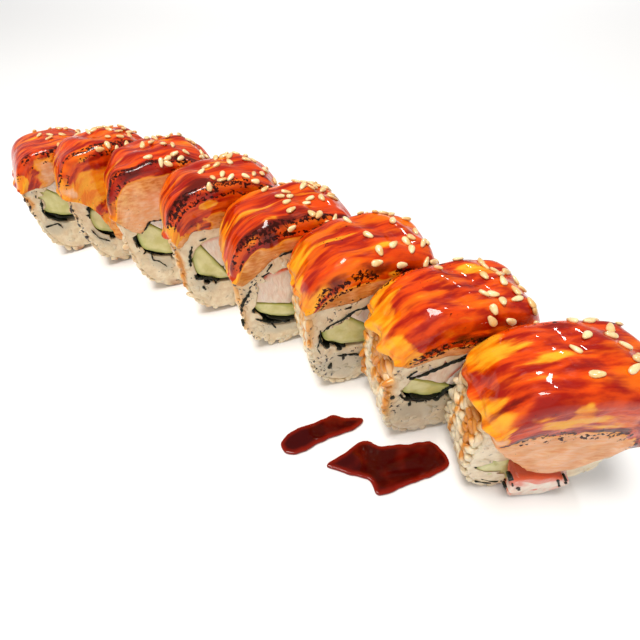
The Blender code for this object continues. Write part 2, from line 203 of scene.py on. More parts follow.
floor_mesh = bpy.data.meshes.new("floor")
floor_mesh.from_pydata(
    [(x * FLOOR_HALF, y * FLOOR_HALF, 0) for x, y in ((-1, -1), (1, -1), (1, 1), (-1, 1))],
    [], [(0, 1, 2, 3)],
)
floor_mesh.materials.append(floor_material())
floor = bpy.data.objects.new("floor", floor_mesh)
bpy.context.scene.collection.objects.link(floor)

# %% [markdown]
# ## Outlines
#
# A slice seen from the end is a rounded square, and so is its core. The superellipse draws both
# with one number for the squareness. The outline is walked anticlockwise from the middle of the
# foot, and any place on it is given by its share of the way round and by how far it lies inside.
# Whole arrays of places are worked out at once with numpy.

# %% Outlines


def superellipse(half_width, half_height, squareness, angle):
    """Points of a rounded oblong round (0, 0), one for each angle."""
    power = 2.0 / squareness
    cos, sin = np.cos(angle), np.sin(angle)
    across = half_width * np.sign(cos) * np.abs(cos) ** power
    up = half_height * np.sign(sin) * np.abs(sin) ** power
    return across, up


class Outline:
    """The outer outline of a slice."""

    def __init__(self, piece):
        angle = np.linspace(-math.pi / 2, 1.5 * math.pi, 2881)
        across, up = superellipse(piece.half_width, piece.height / 2, SLICE_SQUARENESS, angle)
        up = np.maximum(0.0, up + piece.height / 2 - FOOT_FLATTENING)
        up *= piece.height / (piece.height - FOOT_FLATTENING)
        steps = np.hypot(np.diff(across), np.diff(up))
        self.lengths = np.concatenate(([0.0], np.cumsum(steps)))
        self.total = self.lengths[-1]
        self.across, self.up = across, up
        reach = np.linspace(0, self.total, 721)
        smooth_across = np.interp(reach, self.lengths, across)
        smooth_up = np.interp(reach, self.lengths, up)
        slope_across = np.roll(smooth_across[:-1], -2) - np.roll(smooth_across[:-1], 2)
        slope_up = np.roll(smooth_up[:-1], -2) - np.roll(smooth_up[:-1], 2)
        size = np.hypot(slope_across, slope_up)
        self.reach = reach
        self.along_across = np.append(slope_across / size, slope_across[0] / size[0])
        self.along_up = np.append(slope_up / size, slope_up[0] / size[0])

    def place(self, share, inset):
        """Places at shares of the way round, moved in square to the outline."""
        walked = np.mod(share, 1.0) * self.total
        across = np.interp(walked, self.lengths, self.across)
        up = np.interp(walked, self.lengths, self.up)
        along_across = np.interp(walked, self.reach, self.along_across)
        along_up = np.interp(walked, self.reach, self.along_up)
        return across - along_up * inset, up + along_across * inset

    def share_at(self, up, side):
        """The share of the way round at which a side, +1 or -1, reaches a height."""
        distance = np.abs(self.up - up) + 1000.0 * (self.across * side <= 0)
        return self.lengths[int(np.argmin(distance))] / self.total


OUTLINES = [Outline(piece) for piece in SLICES]
print("way round slice 5:", round(OUTLINES[4].total, 1), "mm")

# %% [markdown]
# ## Meshes from grids
#
# Most pieces here are closed tubes: a loop of points is carried along a path. A grid of points
# that wraps round in one direction, and may be capped or wrapped in the other, makes them all.
# Numbers that a material needs later, such as how much mayonnaise lies on a spot, are kept on
# the points as attributes.

# %% Grid meshes


def grid_mesh(name, grid, wrap_rows=False, cap=False, attributes=None):
    """A mesh from a grid of points, rows by columns, whose columns wrap round."""
    rows, columns, _ = grid.shape
    row = np.arange(rows if wrap_rows else rows - 1)
    column = np.arange(columns)
    here = row[:, None] * columns + column[None, :]
    beside = row[:, None] * columns + (column[None, :] + 1) % columns
    above = ((row[:, None] + 1) % rows) * columns + column[None, :]
    above_beside = ((row[:, None] + 1) % rows) * columns + (column[None, :] + 1) % columns
    faces = np.stack((here, beside, above_beside, above), axis=-1).reshape(-1, 4).tolist()
    if cap:
        faces.append(list(range(columns))[::-1])
        faces.append([(rows - 1) * columns + k for k in range(columns)])
    mesh = bpy.data.meshes.new(name)
    mesh.from_pydata((grid.reshape(-1, 3) * MM).tolist(), [], faces)
    for key, values in (attributes or {}).items():
        kind = "FLOAT_VECTOR" if values.ndim == 3 else "FLOAT"
        layer = mesh.attributes.new(key, kind, "POINT")
        field = "vector" if kind == "FLOAT_VECTOR" else "value"
        layer.data.foreach_set(field, values.astype(np.float32).ravel())
    mesh.shade_smooth()
    return mesh


def wobble(points, size, seed):
    """Smooth noise from -1 to 1 at each point of an array, with bumps of the given size."""
    flat = points.reshape(-1, points.shape[-1]) / size
    shift = Vector((seed * 17.3, seed * 5.1, seed * 9.7))
    if flat.shape[1] == 2:
        flat = np.column_stack((flat, np.zeros(len(flat))))
    values = [noise.noise(Vector(point) + shift) for point in flat.tolist()]
    return np.array(values).reshape(points.shape[:-1])


def ramp(value, low, high):
    """Ease from 0 to 1 as a value goes from low to high."""
    share = np.clip((value - low) / (high - low), 0.0, 1.0)
    return share * share * (3 - 2 * share)


def put(name, mesh, material, slot, *nodes):
    """Link a finished mesh as a piece that rides on the roll and replaces its solids."""
    mesh.materials.clear()
    mesh.materials.append(material)
    piece = bpy.data.objects.new(name, mesh)
    bpy.context.scene.collection.objects.link(piece)
    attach(piece, "root")
    if nodes:
        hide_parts(*nodes)
    return piece


# %% [markdown]
# ## Shader helpers
#
# The materials are small node networks. These helpers add a node, wire it up and hand it back,
# so that each finish below reads from top to bottom. The speckle group is shared: it turns noise
# into small dark spots wherever a mask allows them, for char on the salmon and on the rice.

# %% Shader helpers


class Finish:
    """A material under construction, with short ways to add and wire its nodes."""

    def __init__(self, name):
        self.material = bpy.data.materials.new(name)
        self.material.use_nodes = True
        self.nodes = self.material.node_tree.nodes
        self.links = self.material.node_tree.links
        self.shader = self.nodes["Principled BSDF"]

    def wire(self, source, target):
        """Set a socket from another socket, a colour or a number."""
        if isinstance(source, bpy.types.NodeSocket):
            self.links.new(source, target)
        elif isinstance(source, tuple) and len(source) == 3 and target.type == "RGBA":
            target.default_value = (*source, 1.0)
        else:
            target.default_value = source

    def attribute(self, name, output="Fac"):
        """An attribute of the mesh."""
        node = self.nodes.new("ShaderNodeAttribute")
        node.attribute_name = name
        return node.outputs[output]

    def maths(self, operation, first, second):
        """One sum."""
        node = self.nodes.new("ShaderNodeMath")
        node.operation = operation
        self.wire(first, node.inputs[0])
        self.wire(second, node.inputs[1])
        return node.outputs[0]

    def blend(self, share, first, second):
        """One colour into another."""
        node = self.nodes.new("ShaderNodeMix")
        node.data_type = "RGBA"
        self.wire(share, node.inputs["Factor"])
        self.wire(first, node.inputs["A"])
        self.wire(second, node.inputs["B"])
        return node.outputs["Result"]

    def step(self, value, low, high, bottom=0.0, top=1.0):
        """Ease a value from bottom to top as it goes from low to high."""
        node = self.nodes.new("ShaderNodeMapRange")
        node.interpolation_type = "SMOOTHSTEP"
        self.wire(value, node.inputs["Value"])
        for socket, number in zip(("From Min", "From Max", "To Min", "To Max"),
                                  (low, high, bottom, top)):
            node.inputs[socket].default_value = number
        return node.outputs["Result"]

    def grain(self, scale, detail=3.0, place=None, stretch=None, rough=0.5):
        """Noise from 0 to 1; the scale is in bumps to the metre of object space."""
        node = self.nodes.new("ShaderNodeTexNoise")
        node.inputs["Scale"].default_value = scale
        node.inputs["Detail"].default_value = detail
        node.inputs["Roughness"].default_value = rough
        source = place
        if source is None:
            source = self.nodes.new("ShaderNodeTexCoord").outputs["Object"]
        if stretch is not None:
            mapping = self.nodes.new("ShaderNodeMapping")
            mapping.inputs["Scale"].default_value = stretch
            self.links.new(source, mapping.inputs["Vector"])
            source = mapping.outputs["Vector"]
        self.links.new(source, node.inputs["Vector"])
        return node.outputs["Fac"]

    def bump(self, height, distance, strength=1.0, under=None):
        """A bump whose height is given from 0 to 1 and whose depth is in metres."""
        node = self.nodes.new("ShaderNodeBump")
        node.inputs["Strength"].default_value = strength
        node.inputs["Distance"].default_value = distance
        self.links.new(height, node.inputs["Height"])
        if under is not None:
            self.links.new(under, node.inputs["Normal"])
        return node.outputs["Normal"]

    def speckle(self, mask, scale):
        """Dark spots of uneven size where a mask allows them."""
        node = self.nodes.new("ShaderNodeGroup")
        node.node_tree = SPECKLE
        self.wire(mask, node.inputs["Mask"])
        node.inputs["Scale"].default_value = scale
        return node.outputs["Spots"]

    def set(self, **values):
        """Set or wire the shader's own sockets, with _ for a space."""
        for key, value in values.items():
            self.wire(value, self.shader.inputs[key.replace("_", " ")])
        return self.material


def speckle_group():
    """Spots: noise in object space, kept where it rises above a level that the mask lowers."""
    tree = bpy.data.node_groups.new("speckle", "ShaderNodeTree")
    tree.interface.new_socket("Mask", in_out="INPUT", socket_type="NodeSocketFloat")
    tree.interface.new_socket("Scale", in_out="INPUT", socket_type="NodeSocketFloat")
    tree.interface.new_socket("Spots", in_out="OUTPUT", socket_type="NodeSocketFloat")
    entry = tree.nodes.new("NodeGroupInput")
    leave = tree.nodes.new("NodeGroupOutput")
    place = tree.nodes.new("ShaderNodeTexCoord")
    field = tree.nodes.new("ShaderNodeTexNoise")
    field.inputs["Detail"].default_value = 2.5
    field.inputs["Roughness"].default_value = 0.6
    tree.links.new(place.outputs["Object"], field.inputs["Vector"])
    tree.links.new(entry.outputs["Scale"], field.inputs["Scale"])
    rise = tree.nodes.new("ShaderNodeMath")
    rise.operation = "MULTIPLY_ADD"
    rise.inputs[1].default_value = 0.38
    tree.links.new(entry.outputs["Mask"], rise.inputs[0])
    tree.links.new(field.outputs["Fac"], rise.inputs[2])
    edge = tree.nodes.new("ShaderNodeMapRange")
    edge.interpolation_type = "SMOOTHSTEP"
    edge.inputs["From Min"].default_value = 0.81
    edge.inputs["From Max"].default_value = 0.86
    tree.links.new(rise.outputs[0], edge.inputs["Value"])
    tree.links.new(edge.outputs["Result"], leave.inputs["Spots"])
    return tree


SPECKLE = speckle_group()

# %% [markdown]
# ## Rice: the core of the ring
#
# The rice of a slice is a thick ring pressed round the nori. The real thing is a few hundred
# sticky grains. Modelling the whole ring from grains would waste thousands of them where they
# never show, so a slightly smaller solid ring, lumpy like packed rice, fills the inside and only
# its skin is covered with grains in the next step. The knife smears some rice over the edge of
# the nori, in patches, and on some slices it hides a whole corner of the filling.

# %% Rice core
SALMON_END_LEFT = 0.66
SALMON_END_RIGHT = 0.60
SALMON_TIP = 1.8
SALMON_CROWN = 7.5
GAP = 0.35
RICE_INSET = 1.5
RICE_COLUMNS = 132
CORE_CLEARANCE = 0.75
# How far the left end of the salmon rises above its solid, for slices 1 to 8.
LEFT_RISE = (1.5, 3.0, 2.0, 2.0, 1.5, 4.5, 6.0, 5.0)
# How much of the nori's edge is smeared over, and by how much a corner in one direction is.
COVERS = (0.66, 0.75, 0.66, 0.75, 0.66, 0.66, 0.50, 0.6)
CORNERS = {0: (160, 1.5), 3: (20, 2.5), 4: (150, 1.2), 5: (138, 3.6), 6: (150, 1.0), 7: (212, 6.0)}
SMEAR_REACH = 1.6


def salmon_ends(index):
    """The shares of the way round where the salmon begins and ends."""
    piece, outline = SLICES[index], OUTLINES[index]
    right = outline.share_at(piece.height * SALMON_END_RIGHT, 1)
    left = outline.share_at(piece.height * SALMON_END_LEFT, -1)
    return right, left - LEFT_RISE[index] / outline.total


def salmon_thickness(progress):
    """Thickness of the salmon from one end of its arch, 0, to the other, 1."""
    arch = np.sin(math.pi * np.clip(progress, 0.0, 1.0))
    return SALMON_TIP + (SALMON_CROWN - SALMON_TIP) * np.maximum(arch, 0.0) ** 1.3


def covered(index, share):
    """1 under the salmon and 0 where the rice shows, easing over about two millimetres."""
    right, left = salmon_ends(index)
    blur = 1.2 / OUTLINES[index].total
    return ramp(share, right - blur, right + blur) * (1 - ramp(share, left - blur, left + blur))


def rice_inset(index, share):
    """How far the rice lies inside the outline."""
    right, left = salmon_ends(index)
    under = salmon_thickness((share - right) / (left - right)) + GAP
    return under * covered(index, share)


def core_edge(piece, grow, angle):
    """The outline of the core, grown by an amount, as a point for each angle."""
    across, up = superellipse(
        piece.core_half_width + grow, piece.core_half_height + grow, CORE_SQUARENESS, angle
    )
    return across + piece.core_across, up + piece.core_up


def rice_rings(index, inset, columns):
    """The outer and inner edges of a slice's rice, point facing point round the core."""
    piece, outline = SLICES[index], OUTLINES[index]
    share = np.arange(columns) / columns
    outer_across, outer_up = outline.place(share, rice_inset(index, share) + inset)
    outer_up = np.maximum(outer_up, 0.05)
    angle = np.arctan2(
        (outer_up - piece.core_up) / piece.core_half_height,
        (outer_across - piece.core_across) / piece.core_half_width,
    )
    inner_across, inner_up = core_edge(piece, CORE_CLEARANCE, angle)
    return share, outer_across, outer_up, inner_across, inner_up


def smeared(index, across, up):
    """How far rice is smeared over the edge of the nori, 0 to 1, round the core."""
    piece = SLICES[index]
    angle = np.arctan2(up - piece.core_up, across - piece.core_across)
    ring = np.stack((np.cos(angle), np.sin(angle)), -1)
    patches = wobble(ring, 0.42, index + 31) + 0.6 * wobble(ring, 0.14, index + 33)
    return ramp(patches + 0.2 * np.sin(angle) + COVERS[index] - 0.5, -0.08, 0.08)


def make_rice_core(index):
    """A lumpy closed ring, a little inside the solid, smeared over the nori at the near cut."""
    piece = SLICES[index]
    share, outer_a, outer_u, inner_a, inner_u = rice_rings(index, RICE_INSET, RICE_COLUMNS)
    back = -piece.thickness / 2 + 0.8
    front = near_cut(piece) - 0.15
    loop = [(x, 0.0) for x in np.linspace(back, front - 0.8, 16)]
    loop += [(front, share) for share in np.linspace(0, 1, 14)[1:]]
    loop += [(x, 1.0) for x in np.linspace(front, back, 5)[1:]]
    loop += [(back, share) for share in np.linspace(1, 0, 8)[1:-1]]
    cover = smeared(index, inner_a, inner_u) * SMEAR_REACH
    middle = np.array((piece.core_across, piece.core_up))
    direction, reach = CORNERS.get(index, (0, 0))
    angle = np.arctan2(inner_u - middle[1], inner_a - middle[0])
    cover += reach * ramp(np.cos(angle - math.radians(direction)), 0.72, 0.98)
    smear_a = inner_a + (middle[0] - inner_a) * cover / piece.core_half_width
    smear_u = inner_u + (middle[1] - inner_u) * cover / piece.core_half_height
    grid = np.zeros((RICE_COLUMNS, len(loop), 3))
    for column, (x, inward) in enumerate(loop):
        at_front = x > front - 0.1
        end_a, end_u = (smear_a, smear_u) if at_front else (inner_a, inner_u)
        grid[:, column, 0] = x
        grid[:, column, 1] = outer_a + (end_a - outer_a) * inward
        grid[:, column, 2] = outer_u + (end_u - outer_u) * inward
    lumps = wobble(grid, 3.6, index + 1) * 0.26 + wobble(grid, 1.6, index + 5) * 0.10
    grid[:, :, 0] += lumps
    sides = slice(1, 15)
    grid[:, sides, 1] += (lumps * np.sign(grid[:, :, 1]))[:, sides] * 1.4
    grid[:, :, 2] = np.maximum(grid[:, :, 2], 0.05)
    return grid_mesh(
        f"rice_core_{index + 1}", grid, wrap_rows=True, attributes={"where": grid}
    )


# %% [markdown]
# ## Rice: the grains
#
# A grain of cooked sushi rice is a plump little lens, about five millimetres long. Geometry
# Nodes strews such grains over a hidden skin of the ring: points are spread evenly with a least
# distance, each gets a grain laid flat with its own turn, lean and size, and the instances are
# made real. Where the knife went through, grains that stand out of the cut are pressed back to
# it, which gives the flat ovals of cut rice.

# %% Grain shape
GRAIN_LENGTH = 5.2
GRAIN_WIDTH = 2.7
GRAIN_HEIGHT = 2.3
GRAIN_SIDES = 8
GRAIN_RINGS = 6
GRAIN_SPACING = 2.35
GRAIN_LEAN = 0.35
GRAINS_TRIED = 900000.0
CUT_UNEVENNESS = 0.30
LEAST_GRAIN = (0.82, 0.85, 0.85)
LARGEST_GRAIN = (1.12, 1.12, 1.1)


def grain_object():
    """One plump grain, blunter at one end."""
    rings = []
    for ring in range(1, GRAIN_RINGS):
        angle = math.pi * ring / GRAIN_RINGS
        along = -math.cos(angle) * GRAIN_LENGTH / 2
        girth = math.sin(angle) ** 0.75 * (1 - 0.10 * math.cos(angle))
        side = 2 * math.pi * np.arange(GRAIN_SIDES) / GRAIN_SIDES
        rings.append(np.column_stack((
            np.full(GRAIN_SIDES, along),
            np.cos(side) * girth * GRAIN_WIDTH / 2,
            np.sin(side) * girth * GRAIN_HEIGHT / 2,
        )))
    points = np.concatenate(rings)
    points = np.vstack((points, (-GRAIN_LENGTH / 2, 0, 0), (GRAIN_LENGTH / 2, 0, 0)))
    faces = []
    for ring in range(GRAIN_RINGS - 2):
        for side in range(GRAIN_SIDES):
            a = ring * GRAIN_SIDES + side
            b = ring * GRAIN_SIDES + (side + 1) % GRAIN_SIDES
            faces.append((a, b, b + GRAIN_SIDES, a + GRAIN_SIDES))
    blunt = len(points) - 1
    last = (GRAIN_RINGS - 2) * GRAIN_SIDES
    for side in range(GRAIN_SIDES):
        following = (side + 1) % GRAIN_SIDES
        faces.append((blunt - 1, following, side))
        faces.append((blunt, last + side, last + following))
    mesh = bpy.data.meshes.new("rice_grain")
    mesh.from_pydata((points * MM).tolist(), [], faces)
    mesh.shade_smooth()
    mesh.flip_normals()
    return bpy.data.objects.new("rice_grain", mesh)


# %% Node tree that strews grains


def new_tree(name, sockets):
    """An empty geometry tree with its named inputs."""
    tree = bpy.data.node_groups.new(name, "GeometryNodeTree")
    tree.interface.new_socket("Geometry", in_out="INPUT", socket_type="NodeSocketGeometry")
    for socket, kind in sockets:
        tree.interface.new_socket(socket, in_out="INPUT", socket_type=kind)
    tree.interface.new_socket("Geometry", in_out="OUTPUT", socket_type="NodeSocketGeometry")
    return tree


def add(tree, kind, sockets=None, **settings):
    """Add a node with its settings, and set or wire its inputs by name or number."""
    node = tree.nodes.new(kind)
    for key, value in settings.items():
        setattr(node, key, value)
    for key, value in (sockets or {}).items():
        if isinstance(value, bpy.types.NodeSocket):
            tree.links.new(value, node.inputs[key])
        else:
            node.inputs[key].default_value = value
    return node


def strew_tree():
    """Grains strewn over a skin, and pressed back to the two cuts."""
    tree = new_tree("strew_grains", (
        ("Grain", "NodeSocketObject"), ("Spacing", "NodeSocketFloat"),
        ("Lean", "NodeSocketFloat"), ("Seed", "NodeSocketInt"),
        ("Back Cut", "NodeSocketFloat"), ("Front Cut", "NodeSocketFloat"),
        ("Material", "NodeSocketMaterial"),
    ))
    entry = add(tree, "NodeGroupInput").outputs
    spread = add(tree, "GeometryNodeDistributePointsOnFaces", {
        "Mesh": entry["Geometry"], "Distance Min": entry["Spacing"],
        "Density Max": GRAINS_TRIED, "Seed": entry["Seed"],
    }, distribute_method="POISSON")
    low = add(tree, "ShaderNodeCombineXYZ", {"Z": 0.0})
    high = add(tree, "ShaderNodeCombineXYZ", {"Z": 2 * math.pi})
    tree.links.new(entry["Lean"], high.inputs["X"])
    tree.links.new(entry["Lean"], high.inputs["Y"])
    less = add(tree, "ShaderNodeMath", {0: 0.0, 1: entry["Lean"]}, operation="SUBTRACT")
    tree.links.new(less.outputs[0], low.inputs["X"])
    tree.links.new(less.outputs[0], low.inputs["Y"])
    turn = add(tree, "FunctionNodeRandomValue", {
        "Min": low.outputs[0], "Max": high.outputs[0], "Seed": entry["Seed"],
    }, data_type="FLOAT_VECTOR")
    spin = add(tree, "FunctionNodeEulerToRotation", {"Euler": turn.outputs[0]})
    laid = add(tree, "FunctionNodeRotateRotation", {
        "Rotation": spread.outputs["Rotation"], "Rotate By": spin.outputs[0],
    }, rotation_space="LOCAL")
    sizes = add(tree, "FunctionNodeRandomValue", {
        "Min": LEAST_GRAIN, "Max": LARGEST_GRAIN, "Seed": entry["Seed"],
    }, data_type="FLOAT_VECTOR")
    grain = add(tree, "GeometryNodeObjectInfo", {"Object": entry["Grain"]})
    placed = add(tree, "GeometryNodeInstanceOnPoints", {
        "Points": spread.outputs["Points"], "Instance": grain.outputs["Geometry"],
        "Rotation": laid.outputs[0], "Scale": sizes.outputs[0],
    })
    slack = add(tree, "FunctionNodeRandomValue", {
        2: 0.0, 3: CUT_UNEVENNESS * MM, "Seed": entry["Seed"],
    })
    marked = add(tree, "GeometryNodeStoreNamedAttribute", {
        "Geometry": placed.outputs[0], "Name": "slack", "Value": slack.outputs[1],
    }, data_type="FLOAT", domain="INSTANCE")
    real = add(tree, "GeometryNodeRealizeInstances", {"Geometry": marked.outputs[0]})
    kept = add(tree, "GeometryNodeInputNamedAttribute", {"Name": "slack"}, data_type="FLOAT")
    position = add(tree, "GeometryNodeInputPosition")
    place = add(tree, "ShaderNodeSeparateXYZ", {0: position.outputs[0]})
    front = add(tree, "ShaderNodeMath", {0: entry["Front Cut"], 1: kept.outputs[0]},
                operation="SUBTRACT")
    back = add(tree, "ShaderNodeMath", {0: entry["Back Cut"], 1: kept.outputs[0]}, operation="ADD")
    below = add(tree, "ShaderNodeMath", {0: place.outputs[0], 1: front.outputs[0]},
                operation="MINIMUM")
    within = add(tree, "ShaderNodeMath", {0: below.outputs[0], 1: back.outputs[0]},
                 operation="MAXIMUM")
    above = add(tree, "ShaderNodeMath", {0: place.outputs[2], 1: 0.0}, operation="MAXIMUM")
    trimmed = add(tree, "ShaderNodeCombineXYZ", {
        "X": within.outputs[0], "Y": place.outputs[1], "Z": above.outputs[0],
    })
    moved = add(tree, "GeometryNodeSetPosition", {
        "Geometry": real.outputs[0], "Position": trimmed.outputs[0],
    })
    coated = add(tree, "GeometryNodeSetMaterial", {
        "Geometry": moved.outputs[0], "Material": entry["Material"],
    })
    add(tree, "NodeGroupOutput", {"Geometry": coated.outputs[0]})
    return tree


def run_tree(tree, mesh, values):
    """Evaluate a geometry tree on a mesh, and hand back the plain mesh that comes out."""
    carrier = bpy.data.objects.new("carrier", mesh)
    bpy.context.scene.collection.objects.link(carrier)
    modifier = carrier.modifiers.new("tree", "NODES")
    modifier.node_group = tree
    for item in tree.interface.items_tree:
        if item.in_out == "INPUT" and item.name in values:
            modifier[item.identifier] = values[item.name]
    graph = bpy.context.evaluated_depsgraph_get()
    result = bpy.data.meshes.new_from_object(carrier.evaluated_get(graph))
    bpy.data.objects.remove(carrier, do_unlink=True)
    bpy.data.meshes.remove(mesh)
    return result


# %% [markdown]
# ## Rice: the finish
#
# Cooked rice is never paper white. It is a warm, slightly see-through cream, darker in the gaps.
# Amber sauce has run down the front of the grains, the lower corners of the far slices are
# toasted, and char has dropped on the cuts. The masks come from where each point lies in its own
# slice: across, up and along, kept as the attribute "where".

# %% Rice finish


def rice_finish():
    """Warm cream with stains, toast and char."""
    f = Finish("rice")
    cloudy = f.grain(420.0, 3.0)
    cream = f.blend(f.step(cloudy, 0.35, 0.7), (0.78, 0.60, 0.37), (0.91, 0.77, 0.54))
    greyed = f.blend(f.attribute("grey"), cream, (0.60, 0.53, 0.38))
    stained = f.blend(f.attribute("stain"), greyed, (0.80, 0.33, 0.028))
    soaked = f.blend(f.step(f.attribute("stain"), 0.75, 1.3), stained, (0.50, 0.11, 0.005))
    toasted = f.blend(f.attribute("toast"), soaked, (0.44, 0.13, 0.018))
    spots = f.speckle(f.attribute("char"), 900.0)
    colour = f.blend(spots, toasted, (0.022, 0.008, 0.004))
    fine = f.bump(f.grain(1500.0, 2.0), 0.0002, 0.35)
    return f.set(
        Base_Color=colour, Roughness=0.38, Subsurface_Weight=0.25,
        Subsurface_Radius=(0.0022, 0.0015, 0.0009), Subsurface_Scale=1.0,
        Coat_Weight=0.35, Coat_Roughness=0.18, Normal=fine,
    )


RICE = rice_finish()

# %% The skin that carries the grains
SKIN_INSET = 1.35
SKIN_COLUMNS = 144
SKIN_RIM = 0.2


def skin_mesh(index):
    """The skin that the grains are strewn on: the bare sides and the two cut rings."""
    piece = SLICES[index]
    share, outer_a, outer_u, inner_a, inner_u = rice_rings(index, SKIN_INSET, SKIN_COLUMNS)
    back, front = -piece.thickness / 2 + 0.9, near_cut(piece) - 0.9
    points, faces = [], []
    bare = covered(index, share) < 0.4
    lifted = outer_u > SKIN_INSET + 0.2
    rim_a = inner_a + (outer_a - inner_a) * SKIN_RIM
    rim_u = inner_u + (outer_u - inner_u) * SKIN_RIM
    for k in range(SKIN_COLUMNS):
        points.append((back, outer_a[k], outer_u[k]))
        points.append((front, outer_a[k], outer_u[k]))
        points.append((back, rim_a[k], rim_u[k]))
        points.append((front, rim_a[k], rim_u[k]))
    for k in range(SKIN_COLUMNS):
        j = (k + 1) % SKIN_COLUMNS
        if bare[k] and bare[j] and (lifted[k] or lifted[j]):
            faces.append((4 * k, 4 * j, 4 * j + 1, 4 * k + 1))
        faces.append((4 * k + 1, 4 * j + 1, 4 * j + 3, 4 * k + 3))
        faces.append((4 * k, 4 * k + 2, 4 * j + 2, 4 * j))
    mesh = bpy.data.meshes.new("skin")
    mesh.from_pydata((np.array(points) * MM).tolist(), [], faces)
    return mesh


# %% Stains, toast and char on the rice
# Strengths for slices 1 to 8.
STAINS = (0.3, 0.4, 0.6, 1.0, 0.7, 0.9, 1.0, 1.0)
TOASTS = (1.0, 1.0, 0.6, 0.5, 0.2, 0.0, 0.0, 0.3)
CHARS = (0.40, 0.42, 0.46, 0.50, 0.64, 0.66, 0.56, 0.40)
EDGE_CHARS = (1.0, 1.0, 0.9, 0.9, 0.9, 0.7, 0.5, 0.2)
# A drip of sauce down the near cut: its width, then its line, across and up.
DRIPS = {
    0: (1.7, (-16.0, 28.5), (-15.6, 25.5)),
    3: (1.5, (-19.6, 33.4), (-18.4, 27.9), (-18.7, 21.2), (-20.4, 12.5)),
    5: (1.6, (-19.0, 25.0), (-18.8, 22.5)),
}
# Greyer patches of the near cut: the middle, across and up, then the half sizes.
GREYS = {
    0: ((-10.5, 15.5, 5.5, 5.0),), 1: ((-11.0, 16.5, 4.5, 6.0),), 2: ((-8.5, 15.5, 4.5, 6.5),),
    3: ((-12.0, 17.5, 4.5, 8.0),), 4: ((-8.0, 9.5, 6.5, 3.5),), 5: ((-9.0, 10.5, 8.5, 6.5),),
    6: ((-9.0, 15.0, 8.5, 5.5),),
}


def even_line(corners, step):
    """Evenly spaced points along an open line, its corners softened."""
    corners = np.array(corners, float)
    walked = np.concatenate(([0], np.cumsum(np.hypot(*np.diff(corners, axis=0).T))))
    wanted = np.linspace(0, walked[-1], max(6, int(walked[-1] / step)))
    line = np.column_stack([np.interp(wanted, walked, corners[:, axis]) for axis in (0, 1)])
    for _ in range(4):
        line[1:-1] = (line[:-2] + 2 * line[1:-1] + line[2:]) / 4
    return line


def rice_marks(index, mesh):
    """Stain, toast and char on the rice, from where each point lies in its slice."""
    piece = SLICES[index]
    count = len(mesh.vertices)
    where = np.zeros(count * 3)
    mesh.vertices.foreach_get("co", where)
    where = where.reshape(-1, 3) / MM
    along, across, up = where.T
    edge_left = across + piece.half_width
    front = near_cut(piece) - along
    streak = wobble(np.column_stack((along, up * 0.16, across * 0.2)), 3.2, index + 21)
    reach = 1 - ramp(piece.height * SALMON_END_LEFT - up, 3.0, 30.0)
    side = np.where(front < 1.2, ramp(edge_left, 4.0, 0.5), ramp(edge_left, 7.0, 2.0))
    stain = ramp(streak + 0.55 * reach, 0.32, 0.62) * side * STAINS[index]
    under = ramp(up, piece.height * 0.56, piece.height * 0.70) * 0.55
    face = np.column_stack((across, up))
    if index in DRIPS:
        width, *corners = DRIPS[index]
        line = even_line(corners, 0.4)
        away = np.min(np.linalg.norm(face[:, None] - line[None], axis=2), axis=1)
        away += wobble(face, 1.8, index + 55) * 0.5
        stain = np.maximum(stain, ramp(away, width, width * 0.3) * (front < 2.0))
    grey = np.zeros(count)
    for middle_across, middle_up, half_across, half_up in GREYS.get(index, ()):
        away = np.hypot((across - middle_across) / half_across, (up - middle_up) / half_up)
        away += wobble(face, 4.0, index + 57) * 0.3
        grey = np.maximum(grey, 0.85 * ramp(away, 1.3, 0.6) * (front < 2.5))
    toast_noise = wobble(where, 5.0, index + 41)
    toast = ramp(up, 5.5, 1.5) * ramp(toast_noise, -0.1, 0.4) * TOASTS[index]
    drop = wobble(face, 7.0, index + 51)
    char = ramp(front, 2.0, 0.6) * ramp(across, 8.0, -8.0) * ramp(drop, -0.5, 0.3) * CHARS[index]
    edge_char = EDGE_CHARS[index] * ramp(edge_left, 2.5, 0.8) * ramp(front, 3.0, 1.0)
    char = np.maximum(char, edge_char * ramp(wobble(where, 6.0, index + 53), -0.3, 0.3))
    for key, values in (("stain", np.maximum(stain, under * side)), ("toast", toast),
                        ("char", char), ("grey", grey)):
        layer = mesh.attributes.new(key, "FLOAT", "POINT")
        layer.data.foreach_set("value", values.astype(np.float32))


# %% Strew the grains over every slice
STREW = strew_tree()
GRAIN = grain_object()
for index, piece in enumerate(SLICES):
    core = make_rice_core(index)
    grains = run_tree(STREW, skin_mesh(index), {
        "Grain": GRAIN, "Spacing": GRAIN_SPACING * MM, "Lean": GRAIN_LEAN, "Seed": 11 + index,
        "Back Cut": -piece.thickness / 2 * MM, "Front Cut": near_cut(piece) * MM,
        "Material": RICE,
    })
    grains.name = f"rice_grains_{index + 1}"
    for mesh in (core, grains):
        rice_marks(index, mesh)
        mesh.transform(slice_place(index))
    put(f"rice_core_{index + 1}", core, RICE, "rice", f"rice_{index + 1}")
    put(f"rice_grains_{index + 1}", grains, RICE, "rice", f"rice_{index + 1}")
    print(f"slice {index + 1}: {len(grains.polygons)} faces of rice grain")

# %% [markdown]
# ## Nori
#
# Nori is a thin dark sheet, coiled a little more than once. On the cut it shows as an uneven
# black line that swells where the sheet is folded or torn. The coil is drawn out from a spiral
# whose thickness wanders, and its edges are left ragged.

# %% Nori
NORI_INNER_SCALE = 0.86
NORI_OVERLAP = 0.12
NORI_START = math.radians(205)
NORI_STEPS = 260


